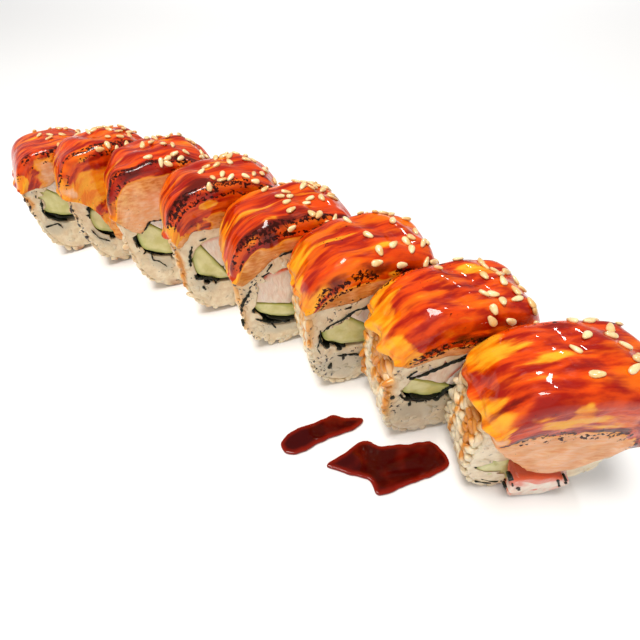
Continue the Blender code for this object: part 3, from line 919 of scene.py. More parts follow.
def nori_finish():
    """Nearly black green with a faint sheen and a crinkle."""
    f = Finish("nori")
    mottle = f.grain(900.0, 4.0)
    colour = f.blend(mottle, (0.004, 0.005, 0.003), (0.018, 0.022, 0.010))
    return f.set(
        Base_Color=colour, Roughness=0.5, Specular_IOR_Level=0.2, Coat_Weight=0.08,
        Coat_Roughness=0.25, Normal=f.bump(f.grain(1600.0, 4.0), 0.0003, 0.6),
    )


def make_nori(index):
    """The coil of one slice, as a strip swept along the slice's axis."""
    piece = SLICES[index]
    turn = (1.0 + NORI_OVERLAP) * np.linspace(0, 1, NORI_STEPS)
    eased = np.minimum(turn, 1.0) ** 2 * (3 - 2 * np.minimum(turn, 1.0))
    scale = NORI_INNER_SCALE + (1 - NORI_INNER_SCALE) * eased
    across, up = superellipse(
        piece.core_half_width, piece.core_half_height, CORE_SQUARENESS,
        NORI_START + 2 * math.pi * turn,
    )
    line = np.column_stack((across * scale, up * scale))
    along = np.gradient(line, axis=0)
    along /= np.linalg.norm(along, axis=1)[:, None]
    sideways = np.column_stack((along[:, 1], -along[:, 0]))
    swell = wobble(line, 2.2, index + 61)
    half = np.clip(0.18 + 0.35 * swell, 0.08, 0.50)
    half *= ramp(np.minimum(turn, turn[-1] - turn), -0.01, 0.02)
    cover = smeared(index, piece.core_across + line[:, 0], piece.core_up + line[:, 1])
    rows = np.linspace(-piece.thickness / 2 + 0.3, near_cut(piece) + 0.05, 9)
    loop = [(x, 1) for x in rows] + [(x, -1) for x in rows[::-1]]
    grid = np.zeros((NORI_STEPS, len(loop), 3))
    for column, (x, side) in enumerate(loop):
        ragged = wobble(np.column_stack((line, np.full(NORI_STEPS, x))), 2.5, index + 71)
        crinkle = ragged * 0.22
        offset = sideways * (half * side + crinkle)[:, None]
        at_cut = max(0.0, x - near_cut(piece) + 1.0)
        grid[:, column, 0] = x + ragged * 0.3 * at_cut - cover * 1.5 * at_cut
        grid[:, column, 1] = piece.core_across + line[:, 0] + offset[:, 0]
        grid[:, column, 2] = piece.core_up + line[:, 1] + offset[:, 1]
    return grid_mesh(f"nori_sheet_{index + 1}", grid, cap=True)


NORI = nori_finish()
for index in range(len(SLICES)):
    sheet = make_nori(index)
    sheet.transform(slice_place(index))
    put(f"nori_sheet_{index + 1}", sheet, NORI, "nori", f"nori_{index + 1}")
print("nori coils:", len(SLICES))

# %% [markdown]
# The knife drags torn shreds of nori out over the near cuts. Each shred is a short strip with
# a width that wanders. It dips in and out of the rice, so that it shows as a broken line. On the
# last slice the shreds stick to the ends of the fillings, which stand out of the rice there.

# %% Shreds of nori
# How far the fillings stand out of the rice at the near cut, for each kind of flap.
FILLING_OVERHANG = {"none": -0.5, "long": -0.5, "short": 3.4}
# The width of each shred, then its line on the near cut, across and up.
NORI_SHREDS = (
    ((0.7, (-11.6, 27), (-12.8, 23.5), (-13.3, 21.3)),
     (0.5, (-15.3, 15.4), (-12.3, 15.3), (-10.5, 15.6), (-9.5, 12.8))),
    ((0.4, (-11.5, 29.2), (-13, 26), (-13.7, 23.7)),
     (0.35, (-15, 19), (-13.7, 14.4), (-10.3, 11.6))),
    ((0.45, (-4.2, 30.9), (-7.2, 31.4), (-8.7, 30.6), (-12.2, 27.1)),
     (0.35, (-11.5, 18.9), (-11.9, 15), (-9.7, 13.7), (-7.9, 10.6))),
    ((0.4, (-8.2, 33.8), (-10.6, 33.3)),
     (0.8, (-13.3, 31.7), (-14.9, 28.1), (-15.6, 24)),
     (0.7, (-15.3, 18.2), (-11.8, 17.4), (-10.3, 17.3), (-8.2, 15.3)),
     (0.8, (-13.7, 14.3), (-13, 12))),
    ((0.5, (-1.1, 40.2), (-5.8, 38.8)), (0.4, (-8.1, 36.8), (-10.1, 34.1)),
     (0.8, (-15.8, 28.4), (-16.8, 26.4), (-18.9, 24), (-20, 19.9)),
     (0.5, (-16, 15.6), (-11.7, 12.3), (-7.8, 11.6), (-4.5, 10.4)),
     (0.35, (-11.2, 12.1), (-9.6, 8.7)), (0.8, (-20.1, 16), (-20.3, 13.4))),
    ((0.35, (-1.7, 34.2), (-5.7, 33.7), (-9.2, 31.4), (-13.2, 29.7), (-14.9, 27.9)),
     (0.35, (-15.9, 24.6), (-16.8, 21.1), (-15.8, 18.1)), (1.0, (-13.2, 10), (-12.5, 12.5)),
     (1.1, (-9.4, 15.2), (-7.6, 15.1)), (0.5, (-8.6, 15), (-8.9, 12.5)),
     (0.5, (-10.6, 15.5), (-7.4, 15.1), (-3.8, 13.8), (0, 13.5))),
    ((0.3, (2.4, 34.4), (-3, 33.9), (-6.3, 32.4), (-11.4, 30.3), (-14.3, 30.1)),
     (1.0, (-18.3, 23.6), (-17.3, 23)),
     (0.75, (-15.5, 22.5), (-13.7, 20.8), (-9.6, 19.6), (-4.3, 17.2), (-2.1, 21.9), (1.3, 21.4)),
     (0.8, (-12.2, 18.9), (-12.6, 17))),
    ((1.0, (-8.7, 15.4), (-7.6, 13.2)), (0.8, (-6.9, 11.6), (-6.2, 9.8)),
     (0.5, (-8.0, 9.6), (-7.4, 7.9)), (0.8, (-4.4, 8.3), (-3.2, 6.0)),
     (0.45, (4.4, 12.0), (7.0, 6.8)), (0.5, (6.2, 12.4), (7.6, 9.2))),
)


def make_shreds(index):
    """Thin torn strips of nori that show in the near cut, as one mesh."""
    piece = SLICES[index]
    reach = near_cut(piece) + max(0.1, FILLING_OVERHANG[piece.flap])
    joined = bmesh.new()
    for order, (width, *corners) in enumerate(NORI_SHREDS[index]):
        line = even_line(corners, 0.25)
        along = np.gradient(line, axis=0)
        along /= np.linalg.norm(along, axis=1)[:, None]
        sideways = np.column_stack((along[:, 1], -along[:, 0]))
        share = np.linspace(0, 1, len(line))
        taper = np.sqrt(np.clip(np.minimum(share, 1 - share) * 8, 0, 1))
        uneven = wobble(line, 0.9, 10 * index + order + 211)
        half = width / 2 * np.clip(0.85 + 1.3 * uneven, 0.25, 1.7) * taper + 0.02
        dip = wobble(line, 1.3, 10 * index + order + 261) * 0.45
        loop = [(x, 1) for x in (reach - 1.4, reach - 0.6, reach + 0.18)]
        loop += [(x, -1) for x in (reach + 0.18, reach - 0.6, reach - 1.4)]
        grid = np.zeros((len(line), len(loop), 3))
        for column, (x, side) in enumerate(loop):
            grid[:, column, 0] = x + dip
            grid[:, column, 1:] = line + sideways * (half * side)[:, None]
        strip = grid_mesh("shred", grid, cap=True)
        joined.from_mesh(strip)
        bpy.data.meshes.remove(strip)
    mesh = bpy.data.meshes.new(f"nori_shreds_{index + 1}")
    joined.to_mesh(mesh)
    joined.free()
    return mesh


for index in range(len(SLICES)):
    shreds = make_shreds(index)
    shreds.transform(slice_place(index))
    put(f"nori_shreds_{index + 1}", shreds, NORI, "nori", f"nori_{index + 1}")
print("shreds of nori:", sum(len(lines) for lines in NORI_SHREDS))

# %% [markdown]
# ## Avocado and crab stick
#
# Inside the nori lie a wedge of avocado along the lower left and two crab sticks above it. Each
# is cut from the core's own outline by straight seams, and its corners are rounded off. On the
# four near slices the seam between avocado and crab is turned to where the cut shows it. The
# distance of every point from its outline is kept as an attribute: it paints the green rim of
# the avocado and the red skin of the crab. On the last slice the crab sticks reach out of the
# rice and droop, with their red skin in stripes.

# %% Shapes of the fillings


def clip(loop, through, direction):
    """The part of a loop that lies on the side a direction points to."""
    kept = []
    for before, after in zip(loop, loop[1:] + loop[:1]):
        near = (before - through).dot(direction)
        far = (after - through).dot(direction)
        if near >= 0:
            kept.append(before)
        if near * far < 0:
            kept.append(before.lerp(after, near / (near - far)))
    return kept


def even_loop(loop, count, rounding):
    """The same loop with evenly spaced points, its corners rounded off."""
    closed = np.array([tuple(point) for point in loop + loop[:1]])
    walked = np.concatenate(([0], np.cumsum(np.hypot(*np.diff(closed, axis=0).T))))
    wanted = np.linspace(0, walked[-1], count, endpoint=False)
    points = np.column_stack([np.interp(wanted, walked, closed[:, axis]) for axis in (0, 1)])
    for _ in range(rounding):
        points = (np.roll(points, 1, axis=0) + points * 2 + np.roll(points, -1, axis=0)) / 4
    return points


def filling_shapes(piece):
    """The outlines of the avocado and of the two crab sticks, across and up."""
    angle = np.linspace(0, 2 * math.pi, 120, endpoint=False)
    turn = np.mod(angle - NORI_START, 2 * math.pi) / (2 * math.pi)
    scale = NORI_INNER_SCALE + (1 - NORI_INNER_SCALE) * turn ** 2 * (3 - 2 * turn)
    for _ in range(12):
        scale = (np.roll(scale, 1) + scale * 2 + np.roll(scale, -1)) / 4
    across, up = superellipse(
        piece.core_half_width - 0.7, piece.core_half_height - 0.7, CORE_SQUARENESS, angle
    )
    room = [Vector((piece.core_across + a, piece.core_up + u))
            for a, u in zip(across * scale, up * scale)]
    middle = Vector((piece.core_across, piece.core_up))
    tilt = math.radians(piece.avocado_tilt)
    upper = Vector((math.sin(tilt), math.cos(tilt)))
    sideways = Vector((-upper.y, upper.x))
    seam = middle - upper * piece.core_half_height * piece.avocado_seam
    split = middle + sideways * piece.core_half_width * piece.crab_split
    above = clip(room, seam + upper * 0.1, upper)
    return {
        "avocado": clip(room, seam - upper * 0.1, -upper),
        "crab_left": clip(above, split + sideways * 0.1, sideways),
        "crab_right": clip(above, split - sideways * 0.1, -sideways),
    }


# %% Sticks of filling
FILLING_POINTS = 88
# The tilt and the seam of the avocado where the cut shows them otherwise than the solid.
SHIFTED_SEAMS = {4: (20, 0.41), 5: (42, 0.05), 6: (31, 0.40), 7: (75, 0.42)}
# The strength of the red skin, the direction that it faces, and how far it spreads round.
CRAB_SKINS = ((0.35, 90, 0.4), (0.2, 90, 0.4), (0.35, 90, 0.4), (0.7, 80, 0.4), (1.4, 60, 0.4),
              (0.15, 60, 0.4), (1.1, 20, 0.4), (2.8, 100, 1.0))
NO_SKIN = (0.0, 0, 0.4)
OVERHANG_SHARES = {"avocado": -0.12, "crab_left": 1.0, "crab_right": 0.8}
CRAB_SAG = 4.2
STRIPE_PITCH = 2.9


def make_filling(name, piece, loop, reach, seed, skin):
    """A stick of filling: rounded at both cuts, and drooping where it stands out of the rice."""
    edge = even_loop(loop, FILLING_POINTS, 3)
    centre = edge.mean(axis=0)
    back, front = -piece.thickness / 2 + 0.2, reach
    stations = [(back, share) for share in (0.15, 0.35, 0.55, 0.75, 0.9)]
    stations += [(back + 0.15, 0.97), (back + 0.5, 1.0)]
    stations += [(x, 1.0) for x in np.linspace(back + 2, front - 2, 6)]
    stations += [(front - 0.5, 1.0), (front - 0.15, 0.97)]
    stations += [(front, share) for share in (0.9, 0.75, 0.55, 0.35, 0.15)]
    grid = np.zeros((len(stations), FILLING_POINTS, 3))
    depth = np.zeros((len(stations), FILLING_POINTS))
    radius = np.linalg.norm(edge - centre, axis=1)
    for row, (x, share) in enumerate(stations):
        ring = centre + (edge - centre) * share
        grid[row, :, 0] = x
        grid[row, :, 1:] = ring
        depth[row] = radius * (1 - share)
    relief = wobble(grid, 3.5, seed) * 0.35 + wobble(grid, 1.3, seed + 5) * 0.10
    grid[:, :, 0] += relief * np.where(np.abs(grid[:, :, 0] - front) < 1.0, 1.0, 0.3)
    turn = np.arctan2(edge[:, 1] - centre[1], edge[:, 0] - centre[0])
    strength, direction, spread = skin
    facing = np.cos(turn - math.radians(direction))
    red = strength * ramp(facing, 0.25 - spread, 0.25 + spread) * np.ones(depth.shape)
    rim = depth * (1.4 - spread)
    cut = near_cut(piece)
    if reach > cut:
        grid[:, :, 2] -= CRAB_SAG * ramp(grid[:, :, 0], cut - 1.5, cut + 1.5)
        grid[:, :, 2] = np.maximum(grid[:, :, 2], 0.4)
        stripes = np.cos(2 * math.pi * (grid[:, :, 1] + 0.3 * relief) / STRIPE_PITCH)
        red *= 1 - 0.85 * ramp(stripes, 0.1, 0.7) * ramp(grid[:, :, 2], 12.0, 7.0)
    return grid_mesh(name, grid, cap=True, attributes={"rim": rim, "skin": red})


# %% Finishes of the fillings


def avocado_finish():
    """Yellow-green flesh that turns greener towards the skin side."""
    f = Finish("avocado")
    rim = f.attribute("rim")
    cloudy = f.grain(260.0, 3.0)
    flesh = f.blend(f.step(cloudy, 0.3, 0.7), (0.64, 0.61, 0.20), (0.80, 0.76, 0.36))
    colour = f.blend(f.step(rim, 0.0, 2.2, 0.85, 0.0), flesh, (0.42, 0.46, 0.09))
    return f.set(
        Base_Color=colour, Roughness=0.32, Subsurface_Weight=0.2,
        Subsurface_Radius=(0.002, 0.002, 0.001), Subsurface_Scale=1.0,
        Coat_Weight=0.4, Coat_Roughness=0.15,
        Normal=f.bump(f.grain(700.0, 4.0), 0.0002, 0.5),
    )


def crab_finish():
    """White fibres under a pink-red skin that is broken here and there."""
    f = Finish("crab")
    rim = f.attribute("rim")
    patchy = f.grain(330.0, 3.0)
    fibres = f.grain(900.0, 4.0, stretch=(1.0, 1.0, 0.35))
    white = f.blend(f.step(fibres, 0.25, 0.75), (0.86, 0.64, 0.50), (0.94, 0.81, 0.68))
    edge = f.maths("MULTIPLY", f.step(rim, 0.3, 2.4, 1.0, 0.0), f.attribute("skin"))
    skin = f.maths("MULTIPLY", edge, f.step(patchy, 0.34, 0.55, 0.35, 1.0))
    colour = f.blend(skin, white, (0.78, 0.12, 0.035))
    return f.set(
        Base_Color=colour, Roughness=0.34, Subsurface_Weight=0.3,
        Subsurface_Radius=(0.003, 0.0015, 0.001), Subsurface_Scale=1.0,
        Coat_Weight=0.4, Coat_Roughness=0.15,
        Normal=f.bump(fibres, 0.0004, 0.6),
    )


AVOCADO = avocado_finish()
CRAB = crab_finish()
for index, piece in enumerate(SLICES):
    if index in SHIFTED_SEAMS:
        tilt, seam = SHIFTED_SEAMS[index]
        piece = piece._replace(avocado_tilt=tilt, avocado_seam=seam)
    for order, (kind, loop) in enumerate(filling_shapes(piece).items()):
        share = OVERHANG_SHARES[kind] if piece.flap == "short" else 1.0
        reach = near_cut(piece) + FILLING_OVERHANG[piece.flap] * share
        skin = NO_SKIN if kind == "avocado" else CRAB_SKINS[index]
        name = f"{kind}_piece_{index + 1}"
        mesh = make_filling(name, piece, loop, reach, 10 * index + order, skin)
        mesh.transform(slice_place(index))
        finish = AVOCADO if kind == "avocado" else CRAB
        put(name, mesh, finish, kind.split("_")[0], f"{kind}_{index + 1}")
print("fillings:", 3 * len(SLICES))

# %% [markdown]
# ## The salmon
#
# A slice of salmon is laid over every piece of roll, coated with mayonnaise, seared with a torch
# and glazed. It is one thick flap: swollen along its middle, rounded where the knife went
# through, with uneven lobes where it hangs down the sides. Its surface is a closed loop carried
# across the arch: over the top, down the near cut, back along the underside and up the far cut.
# On two slices part of it hangs down over the near cut like a tongue.
#
# What colour a spot has depends on what lies there, so amounts of mayonnaise, dark glaze, bare
# flesh and char are worked out here and kept as attributes.

# %% Sizes of the salmon
SWELL = 1.6
# How strongly slices 1 to 8 swell and fold, and how far their crowns sink.
LIFTS = (0.20, 0.9, 1.0, 0.8, 1.0, 1.05, 1.1, 1.0)
SINKS = (1.7, 0.0, 0.0, 0.0, 0.0, 0.0, 0.0, 0.0)
WAVE_HEIGHT = 0.45
WAVE_LENGTH = 11.0
TIP_ROUNDING = 2.4
ARCH_COLUMNS = 170
TOP_ROWS = 56
FACE_ROWS = 22

# %% Look of each slice of salmon
# From mayo to pale a look holds amounts from 0 to 1. The others are millimetres: how far the
# ends hang in lobes, how thick their lip is, how round the near edge is, how far the glaze flows
# down the cut, and how far the line of char lies in from the edge, or below it if less than 0.
Look = namedtuple("Look", "mayo dark char stripes torch pale lobes lip edge flow char_at")
LOOKS = (
    Look(0.30, 0.30, 0.55, 0.3, 0.1, 0.70, 1.0, 0.3, 2.2, 7.5, 1.0),
    Look(0.75, 0.30, 0.90, 0.3, 0.1, 0.35, 1.0, 0.3, 1.6, 26.0, 1.8),
    Look(0.50, 0.45, 0.80, 0.6, 0.0, 0.80, 1.0, 0.3, 1.5, 0.8, 1.5),
    Look(0.65, 0.60, 0.90, 1.0, 0.3, 0.10, 1.2, 0.4, 1.8, 6.0, 1.0),
    Look(0.75, 0.55, 0.95, 1.0, 0.5, 0.20, 1.2, 0.4, 1.8, 1.2, 1.2),
    Look(0.60, 0.50, 1.00, 0.6, 0.6, 0.25, 2.0, 0.8, 2.6, 1.8, -0.8),
    Look(0.60, 0.45, 1.00, 0.35, 0.4, 0.20, 2.6, 1.2, 3.0, 3.8, -3.0),
    Look(0.70, 0.60, 0.70, 0.35, 0.3, 0.90, 2.4, 1.2, 2.6, 8.0, -8.5),
)

# %% Lower edge of the salmon on each near cut
# Across and up, from the right end of the arch to the left one.
FACE_BOTTOMS = (
    ((15, 31), (12, 34), (7, 35), (2, 34), (-3.2, 32.9), (-6.6, 31.3), (-9.2, 31.2),
     (-11.4, 31.9), (-15, 31.2), (-16.5, 30.8)),
    ((16.5, 31), (12, 36), (6, 31), (0.5, 17), (-2, 11), (-4.5, 9.3), (-7.6, 11.2),
     (-7.6, 14.7), (-9, 20.7), (-9.6, 24.8), (-11, 28), (-13.2, 31), (-16.2, 33)),
    ((17, 31), (14, 35), (8, 34.5), (2, 32.5), (-4.6, 31), (-8.5, 31.2), (-10.9, 28.2),
     (-12.7, 27.2), (-15.1, 28.8), (-17, 31.5)),
    ((18, 32), (15, 36), (8, 38.5), (0, 37.5), (-5.4, 36.4), (-8.4, 37.1), (-10.7, 37.2),
     (-12.6, 36.6), (-15.8, 32.4), (-17.8, 31.7)),
    ((18.5, 31), (16, 35), (9, 39.5), (2, 40.5), (-2.4, 40), (-4.9, 39.6), (-8, 37.9),
     (-11.3, 35), (-15.1, 32.2), (-18.3, 30.4)),
    ((18, 31), (15, 36), (8, 39), (2, 39), (-2, 38.6), (-5.1, 37.3), (-8.2, 36.9),
     (-11.3, 36.9), (-14.4, 36.6), (-17.5, 36.2)),
    ((18, 31), (15, 35), (9, 36.5), (3.7, 36.2), (-1.8, 36.3), (-6.1, 36.5), (-8.9, 36.3),
     (-12.3, 35.2), (-14.7, 34.6), (-16.8, 36)),
    ((17.5, 30), (16, 28), (13, 24), (10, 20), (6, 15), (2, 12.8), (-0.2, 12.2),
     (-3.5, 14), (-7.3, 17.9), (-11, 22.5), (-14.9, 27.3), (-17.2, 31.5)),
)

# %% Salmon shape


def salmon_loop():
    """The closed loop as (row, depth, part): row runs along the axis, depth down the face."""
    t = np.linspace(-1, 1, TOP_ROWS)
    loop = [(row, 0.0, "top") for row in np.sin(t * math.pi / 2)]
    loop += [(1.0, depth, "near") for depth in np.linspace(0, 1, FACE_ROWS)[1:]]
    loop += [(1.0, depth, "behind") for depth in np.linspace(1, 0, 8)[1:]]
    loop += [(row, 1.0, "under") for row in np.linspace(1, -1, 6)[1:-1]]
    loop += [(-1.0, depth, "far") for depth in np.linspace(1, 0, 9)[:-1]]
    return loop


def face_bottom(index, ends, progress):
    """The lower edge of the salmon on the near cut, a point for each step along the arch."""
    corners = np.array([ends[0], *FACE_BOTTOMS[index], ends[1]])
    walked = np.concatenate(([0], np.cumsum(np.hypot(*np.diff(corners, axis=0).T))))
    line = np.column_stack([
        np.interp(progress * walked[-1], walked, corners[:, axis]) for axis in (0, 1)
    ])
    for _ in range(8):
        line[1:-1] = (line[:-2] + 2 * line[1:-1] + line[2:]) / 4
    torn = np.stack((wobble(line, 2.2, index + 99), wobble(line, 2.2, index + 100)), -1)
    return line + torn * 0.5 * np.sin(math.pi * progress)[:, None] ** 0.5


def salmon_arrays(index):
    """The places of the salmon's points, with the facts that its colours are made from."""
    piece, outline, look = SLICES[index], OUTLINES[index], LOOKS[index]
    right, left = salmon_ends(index)
    half = piece.thickness / 2

    # Where each point lies on the loop and along the arch. The steps are finer at both ends.
    loop = salmon_loop()
    shape = (ARCH_COLUMNS, len(loop))
    row = np.broadcast_to(np.array([entry[0] for entry in loop]), shape)
    depth = np.broadcast_to(np.array([entry[1] for entry in loop]), shape)
    part = np.broadcast_to(np.array([entry[2] for entry in loop]), shape)
    ease = np.linspace(-1, 1, ARCH_COLUMNS)
    step = 0.175 * np.sin(ease * math.pi / 2) + 0.325 * ease
    progress = np.broadcast_to(((step - step[0]) / (step[-1] - step[0]))[:, None], shape)
    x = row * half

    # The ends hang in lobes and thin out to a round tip.
    along = np.stack((x, np.zeros(shape)), -1)
    lobes = wobble(along, 5.5, index + 81) + 0.25 * wobble(along, 2.8, index + 82)
    left_end = left + (0.8 + lobes * look.lobes) / outline.total
    right_end = right - (0.5 + lobes[:, ::-1] * look.lobes * 0.7) / outline.total
    share = right_end + (left_end - right_end) * progress
    shown = 1 - covered(index, share)
    inner = salmon_thickness((share - right) / (left - right)) * (1 - shown) - 0.3 * shown

    from_left = (1 - progress) * (left_end - right_end) * outline.total
    from_end = np.minimum(from_left, progress * (left_end - right_end) * outline.total)
    close = np.clip(from_end / TIP_ROUNDING, 0.0, 1.0)
    tip = np.sqrt(np.clip(1 - (1 - close) ** 2, 0.0, 1.0))
    thick = salmon_thickness(progress) * tip + 0.02
    walk = (share - 0.5) * outline.total
    surface = np.stack((x, walk), -1)

    # The top swells between the cuts, and waves, folds and ripples run over it.
    arch = np.sin(math.pi * progress)
    swell = SWELL * (1 - row ** 4) * np.sqrt(np.maximum(arch, 0))
    cad_walk = (share - right) * outline.total
    wave = WAVE_HEIGHT * np.sin(
        2 * math.pi * (cad_walk + 7 * row + 3 * piece.core_up) / WAVE_LENGTH
    )
    folds = wobble(np.stack((x, walk * 0.3), -1), 3.4, index + 91) * 0.6 * look.stripes
    rolls = wobble(surface, 8.0, index + 95) * 0.8
    ripples = wobble(surface, 2.6, index + 97) * 0.16
    lift = swell + (wave * arch + rolls + folds + ripples) * (1 - row ** 4) * close
    lift = lift * LIFTS[index] - SINKS[index] * np.sqrt(np.maximum(arch, 0)) * close
    lip = np.exp(-((from_left - 2.6) / 2.0) ** 2) * (0.8 + wobble(surface, 4.0, index + 98))
    lift = lift + look.lip * np.maximum(lip, 0) * (1 - row ** 6)
    from_face = (1 - np.abs(row)) * half
    edge = np.where(row > 0, look.edge, 1.5)
    close_face = np.clip(from_face / edge, 0.0, 1.0)
    rounding = edge * (1 - np.sqrt(np.clip(1 - (1 - close_face) ** 2, 0, 1)))
    outer = inner - thick - lift + np.minimum(rounding, thick * 0.6)
    outer_place = np.stack(outline.place(share, outer), -1)
    inner_place = np.stack(outline.place(share, inner), -1)

    # On the near cut the flap reaches down to its own lower edge.
    rim = outer_place[:, TOP_ROWS - 1]
    hidden = inner_place[:, TOP_ROWS - 1]
    bottom = face_bottom(index, (rim[0], rim[-1]), progress[:, 0])
    deep = depth[..., None]
    near = rim[:, None] + (bottom - rim)[:, None] * deep
    behind = hidden[:, None] + (bottom - hidden)[:, None] * deep
    far = outer_place + (inner_place - outer_place) * deep
    places = np.where((part == "near")[..., None], near, outer_place)
    places = np.where((part == "behind")[..., None], behind, places)
    places = np.where((part == "under")[..., None], inner_place, places)
    places = np.where((part == "far")[..., None], far, places)

    # The cut faces bulge a little, and the lower edge of the near one is rounded.
    down = np.where(part == "near", depth * np.linalg.norm(bottom - rim, axis=1)[:, None], 0.0)
    relief = wobble(places, 4.0, index + 103) * 0.35 + wobble(places, 1.6, index + 104) * 0.10
    back_x = near_cut(piece) + 0.05
    tip_in = np.clip((1 - depth) / 0.14, 0, 1)
    rounded = np.sqrt(np.clip(1 - (1 - tip_in) ** 2, 0, 1))
    front = half + (0.15 + 0.45 * np.sin(math.pi * depth) + relief) * np.minimum(down / 1.5, 1)
    x = np.where(part == "near", back_x + (front - back_x) * rounded, x)
    x = np.where(part == "behind", back_x, x)
    x = np.where(part == "far", -half - 0.2 * np.sin(math.pi * depth) - relief * 0.5, x)
    grid = np.concatenate((x[..., None], places), -1)
    facts = {"progress": progress, "row": row, "depth": depth, "part": part, "walk": walk,
             "from_face": from_face, "from_left": from_left, "down": down, "places": places}
    return grid, facts


# %% [markdown]
# ## The colours of the salmon
#
# Mayonnaise shows golden where the glaze is thin, and the glaze turns maroon where it has
# thickened. Both run in streaks over the arch. Char sits in a broken line along the near rim,
# and the glaze ends some way down the cut face, where the flesh shows. A few larger patches
# are put where the real slices have them.

# %% Salmon colours as attributes
# The kind of each patch, then its middle, across and up, and its radius.
PATCHES = (
    (("pink", -3.5, 37.0, 4.6), ("gold", -16.5, 35.0, 3.5)),
    (("gold", -8.0, 38.0, 9.0), ("pink", -15.3, 37.0, 2.8), ("gold", -5.0, 20.0, 10.0)),
    (("pink", -3.5, 37.5, 5.0),),
    (("gold", -6.3, 46.5, 3.2), ("red", -12.5, 40.0, 4.0), ("red", -8.0, 39.0, 2.5),
     ("gold", -18.8, 38.0, 2.5)),
    (("red", -8.0, 46.2, 3.2), ("red", -2.0, 47.0, 2.8), ("red", -19.0, 38.5, 1.6)),
    (("gold", 0.0, 42.0, 2.5), ("gold", 5.0, 45.0, 3.0)),
    (("gold", -15.5, 39.0, 3.6), ("gold", -9.2, 37.5, 2.0)),
    (("gold", -9.0, 41.0, 3.6), ("gold", -3.0, 43.0, 3.4), ("red", -13.0, 38.0, 1.8),
     ("red", -18.3, 47.0, 2.6), ("pink", -16.5, 34.5, 2.0)),
)


def patch_mask(index, kind, places):
    """Where the patches of one kind lie on the near cut."""
    mask = np.zeros(places.shape[:2])
    warp = wobble(places, 3.5, index + 125) * 1.6 + wobble(places, 1.5, index + 127) * 1.0
    for patch, across, up, radius in PATCHES[index]:
        if patch == kind:
            away = np.hypot(places[..., 0] - across, places[..., 1] - up) + warp
            mask = np.maximum(mask, ramp(away, radius * 1.7, radius * 0.1))
    return mask


def salmon_marks(index, facts):
    """How much mayonnaise, dark glaze, bare flesh and char lies on every point."""
    look, piece = LOOKS[index], SLICES[index]
    row, walk, part = facts["row"], facts["walk"], facts["part"]
    progress, down, places = facts["progress"], facts["down"], facts["places"]
    unrolled = row * piece.thickness / 2 + down
    surface = np.stack((unrolled, walk), -1)
    at_rim = ramp(row, 0.3, 0.95)

    # Golden mayonnaise: noise in streaks, more of it low down, and the patches.
    broad = wobble(np.stack((unrolled * 0.9, walk * 0.45), -1), 5.0, index + 111)
    stripe = wobble(np.stack((unrolled, walk * 0.14), -1), 2.2, index + 113)
    pattern = broad * (1 - 0.6 * look.stripes) + stripe * (0.35 + 0.65 * look.stripes)
    low_left = ramp(facts["from_left"], 14.0, 1.0)
    low_right = ramp(progress, 0.25, 0.02)
    gold = patch_mask(index, "gold", places) * at_rim
    red = patch_mask(index, "red", places) * at_rim
    pink = patch_mask(index, "pink", places) * at_rim
    mayo = ramp(pattern + 0.75 * low_left + 0.3 * low_right + 0.72 * gold - 0.6 * red,
                0.50 - 0.5 * look.mayo, 1.05 - 0.5 * look.mayo)

    # Dark glaze: a halo round the line of char, and streaks.
    other = wobble(np.stack((unrolled, walk * 0.22), -1), 3.4, index + 117)
    wander = wobble(np.stack((walk, np.zeros(walk.shape)), -1), 7.0, index + 119) * 0.8
    band = facts["from_face"] - down - look.char_at - wander
    halo = np.exp(-((band - 0.5) / 1.7) ** 2) * (row > 0) * (1 - 0.7 * low_left)
    halo = halo * ramp(wobble(surface, 9.0, index + 126), -0.5, 0.2)
    dark = 0.30 * look.dark + (0.40 + 0.5 * look.dark) * halo + 0.35 * red - gold
    dark = np.clip(dark + 0.6 * look.dark * ramp(other, 0.1, 0.6), 0.0, 1.0)

    # Bare flesh: below the glaze on the near cut, on the far cut, and underneath.
    blur = wobble(surface, 2.4, index + 118) * 0.3 * look.flow
    flesh = np.where(part == "near", ramp(down + blur, look.flow, look.flow + 1.8), 0.0)
    flesh = np.where(part == "far", ramp(facts["depth"], 0.02, 0.25), flesh)
    flesh = np.where((part == "behind") | (part == "under"), 1.0, flesh)
    flesh = np.maximum(flesh * (1 - red), pink)

    # Char: a broken line along the rim, dots on top and specks low on the cut.
    rim_line = np.exp(-(band / 0.85) ** 2) + 0.7 * np.exp(-((band + 2.3) / 0.6) ** 2)
    rim_line += 0.35 * np.exp(-((band + 1.0) / 2.2) ** 2)
    rim_line = np.where(row > 0, rim_line, 0.7 * np.exp(-((facts["from_face"] - 1.5) / 0.8) ** 2))
    patch = ramp(wobble(surface, 6.0, index + 120), -0.7, 0.1)
    dotted = ramp(wobble(surface, 9.0, index + 121), -0.1, 0.6)
    spread = ramp(progress, 0.02, 0.2) * ramp(progress, 1.0, 0.86)
    lower = ramp(down, 3.0, 7.0) * ramp(wobble(surface, 4.0, index + 122), -0.2, 0.4)
    char = np.maximum(1.45 * look.char * rim_line * patch * spread, 0.45 * dotted * look.char)
    char = np.clip(np.maximum(char, 0.55 * lower * look.char), 0.0, 0.92)

    # How torched and how pale the flesh is, and the way that the streaks run.
    torch = look.torch * ramp(wobble(surface, 5.0, index + 123) + 0.4, 0.0, 0.7)
    tone = look.pale * (0.4 + 0.6 * ramp(down, 3.0, 9.0)) + 0.7 * wobble(places, 5.0, index + 124)
    pale = np.maximum(np.clip(tone, 0.0, 1.0), pink)
    own_noise = np.full(unrolled.shape, 9.0 * index)
    run = np.stack((unrolled, walk * (0.34 - 0.22 * look.stripes), own_noise), -1)
    return {"mayo": mayo * (1 - 0.6 * dark), "dark": dark, "flesh": flesh, "char": char,
            "torch": torch * (1 - pink), "pale": pale, "run": run}


